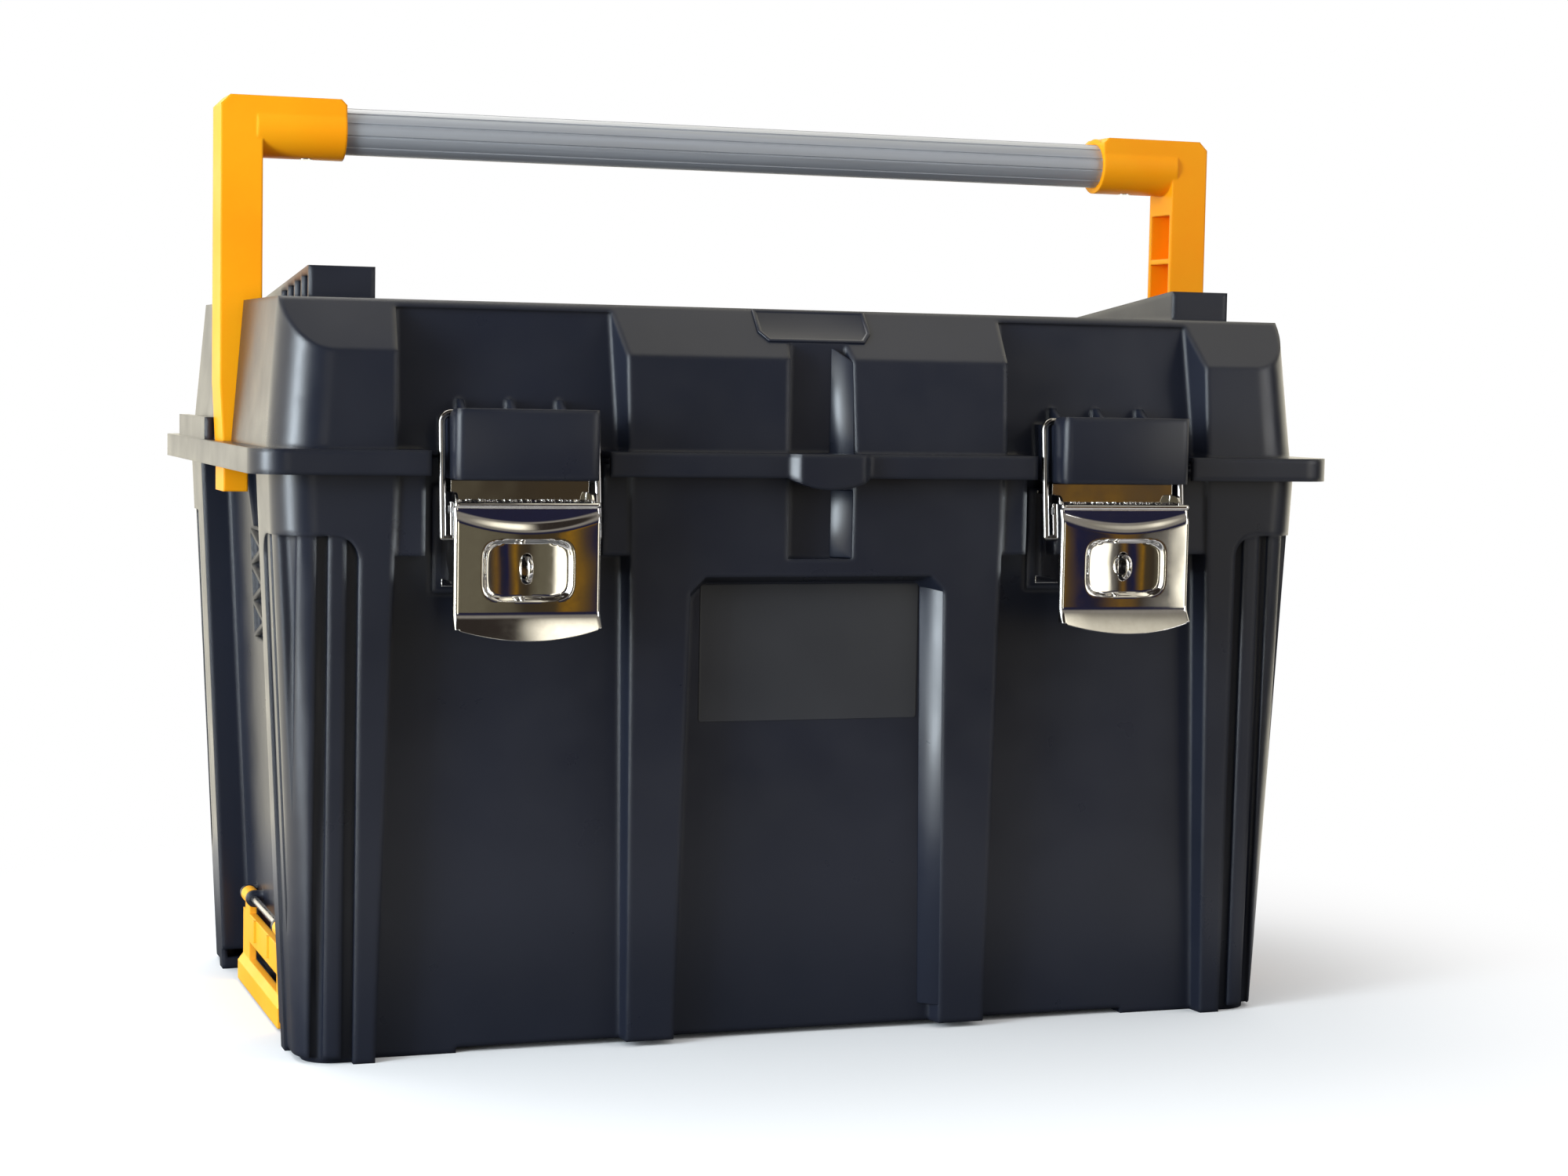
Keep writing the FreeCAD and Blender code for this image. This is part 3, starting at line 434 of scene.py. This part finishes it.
def dark_wire():
    """Chromed wire, darker than the plates."""
    return metal("dark_wire", RUB_NOISE, RUB_CHANGE, WIRES, WIRE_ROUGH)[0]


def plated_steel():
    """Dull plated pins, rivets and staples."""
    material, tree, shader, stain = metal("plated_steel", STAIN_NOISE, RUB_CHANGE, STEELS, STEEL_ROUGH)
    link(tree, bump(tree, stain, *STAIN_BUMP), shader.inputs["Normal"])
    return material


FINISHES = {
    "black_plastic": moulded_plastic("black_satin_plastic", BLACKS, BLACK_ROUGH, BLACK_LEVEL, SHELL_EDGE),
    "crisp_plastic": moulded_plastic("black_crisp_plastic", BLACKS, BLACK_ROUGH, BLACK_LEVEL, CRISP_EDGE),
    "orange_plastic": glowing_plastic(
        "arm_orange_plastic", ORANGES, ARM_ROUGH, ARM_LEVEL, ARM_EDGE, ARM_GLOW
    ),
    "yellow_plastic": glowing_plastic(
        "clip_yellow_plastic", YELLOWS, CLIP_ROUGH, CLIP_LEVEL, CLIP_EDGE, CLIP_GLOW
    ),
    "tube_aluminium": drawn_aluminium(),
    "chrome": mirror_chrome(),
    "steel": plated_steel(),
    "dark_wire": dark_wire(),
    "panel_film": moulded_plastic("panel_film", FILMS, FILM_ROUGH, FILM_LEVEL, FILM_EDGE, GRAIN_FAINT),
}


def dress_nodes():
    """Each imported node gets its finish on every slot."""
    for row in frame["record"]["subparts"]:
        piece = nodes[row["node"]]
        finish = FINISHES["dark_wire" if row["node"].startswith("bail_") else row["material_slot"]]
        for slot in piece.material_slots:
            slot.material = finish


def start_piece(name):
    """The primitive just added becomes a named piece."""
    piece = bpy.context.object
    piece.name = name
    piece.data.name = name
    return piece


def select_only(piece):
    bpy.ops.object.select_all(action="DESELECT")
    piece.select_set(True)
    bpy.context.view_layer.objects.active = piece


def set_place(piece):
    """The piece's place goes into its mesh."""
    select_only(piece)
    bpy.ops.object.transform_apply(location=True, rotation=True, scale=True)


def finish_piece(piece, finish, body, angle=SMOOTH_ANGLE):
    """The piece gets its finish and smooth faces, and rides on its body."""
    piece.data.materials.clear()
    piece.data.materials.append(finish)
    set_place(piece)
    bpy.ops.object.shade_smooth_by_angle(angle=angle)
    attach(piece, body)


def pick(piece, kind, test):
    """Selects the edges or faces that pass a test on their middle and direction, in edit mode."""
    bpy.ops.mesh.select_mode(type=kind)
    bpy.ops.mesh.select_all(action="DESELECT")
    mesh = bmesh.from_edit_mesh(piece.data)
    if kind == "EDGE":
        for edge in mesh.edges:
            first, second = (v.co for v in edge.verts)
            edge.select = test((first + second) / 2, (second - first).normalized())
    else:
        for face in mesh.faces:
            face.select = test(face.calc_center_median(), face.normal)
    mesh.select_flush_mode()
    bmesh.update_edit_mesh(piece.data)


def round_picked(size, segments=ROUND_SEGMENTS):
    """Rounds the selected edges, in edit mode."""
    bpy.ops.mesh.bevel(offset=size, offset_type="OFFSET", segments=segments, affect="EDGES")


def face_outwards():
    """All faces of the active piece point outwards, in edit mode."""
    bpy.ops.mesh.select_all(action="SELECT")
    bpy.ops.mesh.normals_make_consistent(inside=False)


def soften(piece, width, segments):
    """A bevel on the piece's edges, not applied yet."""
    soft = piece.modifiers.new("soft", "BEVEL")
    soft.width = width
    soft.segments = segments
    return soft


def apply_modifiers(piece):
    select_only(piece)
    for modifier in list(piece.modifiers):
        bpy.ops.object.modifier_apply(modifier=modifier.name)


def add_block(name, low, high):
    """A box between two corners, its size already in the mesh."""
    bpy.ops.object.select_all(action="DESELECT")
    middle = (Vector(low) + Vector(high)) / 2
    bpy.ops.mesh.primitive_cube_add(size=1.0, location=middle, scale=Vector(high) - Vector(low))
    piece = start_piece(name)
    set_place(piece)
    return piece


def add_sheet(name, corners, radius):
    """A flat face with a number of corners."""
    bpy.ops.object.select_all(action="DESELECT")
    bpy.ops.mesh.primitive_circle_add(vertices=corners, radius=radius, fill_type="NGON")
    return start_piece(name)


def panel_film():
    """Bare film in the front panel's window: a thin sheet with rounded corners and a soft border."""
    low = (-FILM_HALF, PANEL_Y - FILM_THICK, FILM_LOW_Z)
    high = (FILM_HALF, PANEL_Y, FILM_HIGH_Z)
    piece = add_block("panel_film", low, high)
    bpy.ops.object.mode_set(mode="EDIT")
    pick(piece, "EDGE", lambda place, way: abs(way.y) > ALONG)
    round_picked(FILM_CORNER)
    pick(piece, "FACE", lambda place, way: way.y < -ALONG)
    bpy.ops.mesh.inset(thickness=FILM_BORDER, depth=0)
    bpy.ops.transform.translate(value=(0, -FILM_RAISED, 0))
    bpy.ops.object.mode_set(mode="OBJECT")
    finish_piece(piece, FINISHES["panel_film"], "bin")


def lid_plate():
    """Bare framed plate on the sloping front edge of the lid, its lower corners cut off."""
    outline = (
        (-1, 1),
        (-1, PLATE_CUT_SHARE),
        (-PLATE_FOOT_SHARE, -1),
        (PLATE_FOOT_SHARE, -1),
        (1, PLATE_CUT_SHARE),
        (1, 1),
    )
    piece = add_sheet("lid_plate", len(outline), PLATE_HALF)
    for vertex, (across, up) in zip(piece.data.vertices, outline):
        vertex.co = (across * PLATE_HALF, up * PLATE_RISE, 0)
    bpy.ops.object.mode_set(mode="EDIT")
    face_outwards()
    bpy.ops.mesh.extrude_region_move(TRANSFORM_OT_translate={"value": (0, 0, PLATE_PROUD)})
    bpy.ops.mesh.inset(thickness=PLATE_BORDER, depth=0)
    bpy.ops.mesh.inset(thickness=PLATE_STEP, depth=-PLATE_PROUD * PLATE_SUNK_SHARE)
    face_outwards()
    bpy.ops.object.mode_set(mode="OBJECT")
    soften(piece, PLATE_SOFT, THIN_SEGMENTS)
    apply_modifiers(piece)
    top, foot = Vector(BEVEL_TOP), Vector(BEVEL_FOOT)
    across = Vector((1, 0, 0))
    slope = (top - foot).normalized()
    turn = Matrix((across, slope, across.cross(slope))).transposed()
    piece.matrix_world = Matrix.Translation(foot.lerp(top, PLATE_MIDDLE_SHARE)) @ turn.to_4x4()
    finish_piece(piece, FINISHES["crisp_plastic"], "lid")


def slanted_wall(name, body, foot_low, mouth_low, foot_high, mouth_high):
    """Three-sided fillet that turns a steep right wall into a slanted one."""
    piece = add_sheet(name, 3, MM)
    bpy.ops.object.mode_set(mode="EDIT")
    bpy.ops.mesh.select_all(action="SELECT")
    bpy.ops.mesh.extrude_region_move(TRANSFORM_OT_translate={"value": (0, 0, MM)})
    bpy.ops.object.mode_set(mode="OBJECT")
    corners = [vertex.co.copy() for vertex in piece.data.vertices if vertex.co.z < MM / 2]
    for vertex in piece.data.vertices:
        foot, mouth = (foot_low, mouth_low) if vertex.co.z < MM / 2 else (foot_high, mouth_high)
        number = min(range(3), key=lambda n: (corners[n].xy - vertex.co.xy).length)
        vertex.co = Vector((foot, mouth, (mouth[0], foot[1], mouth[2]))[number]) * MM
    bpy.ops.object.mode_set(mode="EDIT")
    face_outwards()
    bpy.ops.object.mode_set(mode="OBJECT")
    soften(piece, SLANT_SOFT, THIN_SEGMENTS)
    apply_modifiers(piece)
    finish_piece(piece, FINISHES["crisp_plastic"], body)


def soft_step(value, low, high):
    """Zero below low, one above high, smooth between."""
    share = min(max((value - low) / (high - low), 0.0), 1.0)
    return share * share * (3 - 2 * share)


def lever_face_y(x, z):
    """How far the lever's face lies behind its front plane; x from its middle, z from its crease."""
    u = x / LEVER_HALF
    below_top = LEVER_HEIGHT - z
    strip_edge = STRIP_SIDE + (STRIP_MIDDLE - STRIP_SIDE) * (1 - u * u)
    swollen = soft_step(below_top, strip_edge - STRIP_BLEND, strip_edge + STRIP_BLEND)
    strip = LEVER_STEP + STRIP_TILT * (strip_edge - below_top)
    y = strip * (1 - swollen) - LEVER_CROWN * (1 - u * u) * swollen
    bead = BEAD_R ** 2 - (below_top - BEAD_R) ** 2
    if bead >= 0 and below_top < 2 * BEAD_R:
        y = min(y, BEAD_R - math.sqrt(bead))
    across = abs(x) / DISH_HALF
    along = abs(z - DISH_MIDDLE) / DISH_RISE
    rim = (across ** DISH_POWER + along ** DISH_POWER) ** (1 / DISH_POWER)
    if rim < 1:
        inside = soft_step(1 - rim, 0, DISH_WALL_SHARE)
        y += (DISH_WALL + DISH_BOWL * (1 - across * across)) * inside
    below = -z / CREASE_SOFT
    flare = CREASE_SOFT * math.log1p(math.exp(below)) / LIP_DROP
    return y - LIP_OUT * (LIP_EVEN_SHARE * flare + (1 - LIP_EVEN_SHARE) * flare * flare)


def flange_back(z):
    """How far back the side flange reaches at a height above the crease."""
    if z > LEVER_HEIGHT - FLANGE_TOP_DROP:
        return FLANGE_DEEP - FLANGE_TOP_CUT * (z - LEVER_HEIGHT + FLANGE_TOP_DROP) / FLANGE_TOP_DROP
    return LEVER_BEND + (FLANGE_DEEP - LEVER_BEND) * soft_step(z, FLANGE_LOW, FLANGE_FULL)


def lever_point(across, up):
    """Place on the pressed sheet: across runs from edge to edge round both bends, up from lip to bead."""
    side = math.copysign(1.0, across)
    share = abs(across)
    flat = LEVER_HALF - LEVER_BEND
    x = LEVER_HALF if share > FACE_SHARE else flat * share / FACE_SHARE
    u = x / LEVER_HALF
    low = -LIP_DROP + LIP_RISE * u * u
    z = low + (LEVER_HEIGHT - low) * (1 - (1 - up) ** ROW_POWER)
    if share <= FACE_SHARE:
        return side * x, lever_face_y(x, z), z
    curl = soft_step(z, -LIP_DROP, 0) * (1 - CURL_AT_LIP) + CURL_AT_LIP
    if share <= BEND_SHARE:
        turn = 0.5 * math.pi * (share - FACE_SHARE) / (BEND_SHARE - FACE_SHARE)
        x = flat + LEVER_BEND * math.sin(turn)
        return side * x, lever_face_y(flat, z) + LEVER_BEND * (1 - math.cos(turn)) * curl, z
    start = lever_face_y(flat, z) + LEVER_BEND * curl
    reach = (share - BEND_SHARE) / (1 - BEND_SHARE)
    return side * LEVER_HALF, start + max(flange_back(z) - start, 0) * reach, z


def staple_slot(name, node):
    """Upright slot's cutter round the staple, with round ends."""
    low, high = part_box(node)
    low_corner = (low[0] - SLOT_MARGIN, low[1], low[2] - SLOT_MARGIN)
    high_corner = (high[0] + SLOT_MARGIN, high[1], high[2] + SLOT_MARGIN)
    piece = add_block(name, low_corner, high_corner)
    bpy.ops.object.mode_set(mode="EDIT")
    pick(piece, "EDGE", lambda place, way: abs(way.y) > ALONG)
    radius = (high[0] - low[0]) / 2 + SLOT_MARGIN
    round_picked(radius * SLOT_END_SHARE, SLOT_SEGMENTS)
    bpy.ops.object.mode_set(mode="OBJECT")
    return piece


def pressed_lever(side):
    """Lever pressed from one sheet: beaded top, swollen face, dished window, flared lip and flanges."""
    node = "lever_" + side
    low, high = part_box(node)
    bpy.ops.object.select_all(action="DESELECT")
    bpy.ops.mesh.primitive_grid_add(x_subdivisions=LEVER_COLUMNS, y_subdivisions=LEVER_ROWS, size=2.0)
    piece = start_piece("pressed_lever_" + side)
    middle_x = (low[0] + high[0]) / 2
    front_y = low[1] + LIP_OUT
    crease_z = high[2] - LEVER_HEIGHT
    for vertex in piece.data.vertices:
        x, y, z = lever_point(vertex.co.x, (vertex.co.y + 1) / 2)
        vertex.co = (middle_x + x, front_y + y, crease_z + z)
    bpy.ops.object.mode_set(mode="EDIT")
    face_outwards()
    bpy.ops.object.mode_set(mode="OBJECT")
    if piece.data.polygons[len(piece.data.polygons) // 2].normal.y > 0:
        piece.data.flip_normals()
    sheet = piece.modifiers.new("sheet", "SOLIDIFY")
    sheet.thickness = LEVER_SHEET
    sheet.offset = -1.0
    sheet.use_even_offset = True
    cutter = staple_slot("slot_cutter_" + side, "padlock_staple_" + side)
    slot = piece.modifiers.new("slot", "BOOLEAN")
    slot.operation = "DIFFERENCE"
    slot.object = cutter
    slot.solver = "EXACT"
    apply_modifiers(piece)
    bpy.data.objects.remove(cutter)
    finish_piece(piece, FINISHES["chrome"], node, LEVER_SMOOTH_ANGLE)
    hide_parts(node)


def hook_cover(side):
    """Front of the lid's hook block, with the lip that stands before the bail's bar."""
    low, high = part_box("lever_" + side)
    bail_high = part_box("bail_" + side)[1]
    lid_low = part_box("lid_shell")[0]
    middle_x = (low[0] + high[0]) / 2
    front_y = lid_low[1] - HOOK_SKIN
    back_y = bail_high[1] - 2 * BAIL_WIRE - HOOK_BAR_GAP
    top_z = bail_high[2] + HOOK_LIP_OVER
    low_corner = (middle_x - HOOK_HALF, front_y, HOOK_LOW_Z)
    high_corner = (middle_x + HOOK_HALF, back_y, top_z)
    piece = add_block("hook_block_" + side, low_corner, high_corner)

    def upright_in_front(place, way):
        return abs(way.z) > ALONG and place.y < front_y + MM

    def top_corner(place, way):
        outer = abs(place.x - middle_x) > HOOK_HALF - MM
        return abs(way.y) > ALONG and place.z > top_z - MM and outer

    bpy.ops.object.mode_set(mode="EDIT")
    pick(piece, "EDGE", upright_in_front)
    round_picked(HOOK_ROUND)
    pick(piece, "EDGE", top_corner)
    round_picked(HOOK_CORNER)
    bpy.ops.object.mode_set(mode="OBJECT")
    soft = soften(piece, HOOK_SOFT, HOOK_SEGMENTS)
    soft.limit_method = "ANGLE"
    soft.angle_limit = HOOK_SOFT_ANGLE
    apply_modifiers(piece)
    finish_piece(piece, FINISHES["black_plastic"], "lid")


def math_node(tree, operation, first, second=0.0):
    node = add(tree, "ShaderNodeMath", operation=operation)
    feed(tree, node.inputs[0], first)
    feed(tree, node.inputs[1], second)
    return node.outputs["Value"]


def rise(tree, value, change, top=1.0):
    """Zero before the change, a plain level after it."""
    node = add(tree, "ShaderNodeMapRange", interpolation_type="SMOOTHSTEP")
    node.inputs["From Min"].default_value, node.inputs["From Max"].default_value = change
    node.inputs["To Min"].default_value = 0.0
    node.inputs["To Max"].default_value = top
    link(tree, value, node.inputs["Value"])
    return node.outputs["Result"]


def within(tree, value, middle, half, soft):
    """One near a middle, zero beyond a half width, with a soft edge."""
    off = math_node(tree, "ABSOLUTE", math_node(tree, "SUBTRACT", value, middle))
    outside = rise(tree, off, (half * (1 - soft), half * (1 + soft)))
    return math_node(tree, "SUBTRACT", 1.0, outside)


def seen_directly(tree):
    """One for what the camera sees, also through glass."""
    path = add(tree, "ShaderNodeLightPath")
    return math_node(tree, "MAXIMUM", path.outputs["Is Camera Ray"], path.outputs["Is Transmission Ray"])


def seen_or_mirrored(tree):
    """One for what the camera sees, also in metal and gloss."""
    path = add(tree, "ShaderNodeLightPath")
    return math_node(tree, "MAXIMUM", seen_directly(tree), path.outputs["Is Glossy Ray"])


def mix_shaders(tree, share, first, second):
    node = add(tree, "ShaderNodeMixShader")
    link(tree, share, node.inputs["Fac"])
    link(tree, first, node.inputs[1])
    link(tree, second, node.inputs[2])
    return node.outputs["Shader"]


def mix_colours(tree, share, first, second):
    node = add(tree, "ShaderNodeMix", data_type="RGBA")
    link(tree, share, node.inputs["Factor"])
    feed(tree, node.inputs[6], first)
    feed(tree, node.inputs[7], second)
    return node.outputs[2]


def background(tree, colour, strength):
    node = add(tree, "ShaderNodeBackground")
    feed(tree, node.inputs["Color"], colour)
    feed(tree, node.inputs["Strength"], strength)
    return node.outputs["Background"]


def floor_material():
    """Pale matt floor that keeps the object's shadow and is as white as the backdrop further out."""
    material, tree, shader = new_material("floor_white")
    link(tree, ramp(tree, seen_directly(tree), (0.0, 1.0), FLOOR_TONES), shader.inputs["Base Color"])
    shader.inputs["Roughness"].default_value = FLOOR_ROUGH
    shader.inputs["Specular IOR Level"].default_value = 0.0
    place = add(tree, "ShaderNodeTexCoord")
    reach = add(tree, "ShaderNodeVectorMath", operation="LENGTH")
    link(tree, place.outputs["Object"], reach.inputs[0])
    away = rise(tree, reach.outputs["Value"], FLOOR_FADE)
    backdrop = add(tree, "ShaderNodeEmission")
    feed(tree, backdrop.inputs["Color"], WHITE)
    feed(tree, backdrop.inputs["Strength"], 1.0)
    shown = math_node(tree, "MULTIPLY", away, seen_or_mirrored(tree))
    blend = mix_shaders(tree, shown, shader.outputs["BSDF"], backdrop.outputs["Emission"])
    link(tree, blend, tree.nodes["Material Output"].inputs["Surface"])
    return material


def lay_floor():
    floor = add_sheet("studio_floor", FLOOR_EDGES, FLOOR_RADIUS)
    floor.data.materials.append(floor_material())


def window(tree, split, middle):
    """A soft bright panel of the dim room, by its place across."""
    inside = within(tree, split.outputs["X"], middle, WINDOW_HALF, WINDOW_SIDE_SOFT)
    tall = within(tree, split.outputs["Z"], WINDOW_LEVEL, WINDOW_TALL, WINDOW_TOP_SOFT)
    front = math_node(tree, "LESS_THAN", split.outputs["Y"], 0.0)
    return math_node(tree, "MULTIPLY", math_node(tree, "MULTIPLY", inside, tall), front)


def room_colour(tree, split):
    """Dim room in front: its walls by place across, its upper part by height."""
    walls = add(tree, "ShaderNodeValToRGB")
    while len(walls.color_ramp.elements) < len(ROOM_WALLS):
        walls.color_ramp.elements.new(0.5)
    for element, (position, colour) in zip(walls.color_ramp.elements, ROOM_WALLS):
        element.position = position
        element.color = (*colour, 1)
    link(tree, split.outputs["X"], walls.inputs["Fac"])
    height = split.outputs["Z"]
    upper = ramp(tree, height, UPPER_CHANGE, ROOM_UPPER)
    upper = mix_colours(tree, rise(tree, height, CEILING_CHANGE), upper, ROOM_CEILING)
    return mix_colours(tree, rise(tree, height, WALL_TOP_CHANGE), walls.outputs["Color"], upper)


def bright_share(tree, split):
    """One where gloss sees the white backdrop: to the left, behind, above and in the windows."""
    across, depth, height = (split.outputs[axis] for axis in "XYZ")
    left = rise(tree, math_node(tree, "MULTIPLY", across, -1.0), LEFT_CHANGE)
    back = rise(tree, depth, BACK_CHANGE)
    above = math_node(tree, "MULTIPLY", rise(tree, height, ABOVE_CHANGE), rise(tree, across, ABOVE_ACROSS))
    undimmed = math_node(tree, "SUBTRACT", 1.0, rise(tree, across, DIM_ACROSS, DIM_SHARE))
    above = math_node(tree, "MULTIPLY", above, undimmed)
    lit = math_node(tree, "MAXIMUM", math_node(tree, "MAXIMUM", left, back), above)
    for middle in WINDOW_MIDDLES:
        lit = math_node(tree, "MAXIMUM", lit, window(tree, split, middle))
    return lit


def studio_world():
    """White backdrop all round. Gloss sees it to the left, behind and above, and a dim room in front."""
    world = bpy.data.worlds.new("studio")
    bpy.context.scene.world = world
    world.use_nodes = True
    tree = world.node_tree
    tree.nodes.clear()
    place = add(tree, "ShaderNodeTexCoord")
    split = add(tree, "ShaderNodeSeparateXYZ")
    link(tree, place.outputs["Generated"], split.inputs["Vector"])
    room = background(tree, room_colour(tree, split), 1.0)
    gloss = mix_shaders(tree, bright_share(tree, split), room, background(tree, PALE_WALL, 1.0))
    low_fill, high_fill = FILL_LEVELS
    raised = rise(tree, split.outputs["Z"], FILL_CHANGE, high_fill - low_fill)
    fill = background(tree, WHITE, math_node(tree, "ADD", raised, low_fill))
    path = add(tree, "ShaderNodeLightPath")
    light = mix_shaders(tree, path.outputs["Is Glossy Ray"], fill, gloss)
    shown = mix_shaders(tree, seen_directly(tree), light, background(tree, WHITE, 1.0))
    output = add(tree, "ShaderNodeOutputWorld")
    link(tree, shown, output.inputs["Surface"])


def softbox(name, place, width, height, watts, tint):
    """Rectangular lamp that faces the object's middle."""
    light = bpy.data.lights.new(name, "AREA")
    light.shape = "RECTANGLE"
    light.size = width
    light.size_y = height
    light.energy = watts
    light.color = tint
    lamp = bpy.data.objects.new(name, light)
    bpy.context.scene.collection.objects.link(lamp)
    lamp.location = place
    direction = Vector(LAMP_TARGET) - Vector(place)
    lamp.rotation_euler = direction.to_track_quat("-Z", "Y").to_euler()


def place_camera():
    """Camera at the photograph's place, with its direction, roll and lens."""
    yaw, pitch, roll = CAMERA_YAW, CAMERA_PITCH, CAMERA_ROLL
    ahead = Vector((math.sin(yaw) * math.cos(pitch), math.cos(yaw) * math.cos(pitch), -math.sin(pitch)))
    level = Vector((math.cos(yaw), -math.sin(yaw), 0))
    upright = level.cross(ahead)
    right = math.cos(roll) * level + math.sin(roll) * upright
    top = math.cos(roll) * upright - math.sin(roll) * level
    turn = Matrix((right, top, -ahead)).transposed()
    data = bpy.data.cameras.new("view")
    data.sensor_fit = "HORIZONTAL"
    data.sensor_width = SENSOR_MM
    data.lens = SENSOR_MM * LENS_PIXELS / FRAME_PIXELS
    data.clip_start = CLIP_START
    data.clip_end = CLIP_END
    camera = bpy.data.objects.new("view", data)
    camera.matrix_world = Matrix.Translation(CAMERA_PLACE) @ turn.to_4x4()
    bpy.context.scene.collection.objects.link(camera)
    bpy.context.scene.camera = camera


dress_nodes()
panel_film()
lid_plate()
for wall in SLANTED_WALLS:
    slanted_wall(*wall)
for side in ("left", "right"):
    pressed_lever(side)
    hook_cover(side)
lay_floor()
studio_world()
for lamp_row in SOFTBOXES:
    softbox(*lamp_row)
place_camera()
bpy.context.scene.view_settings.view_transform = "Standard"
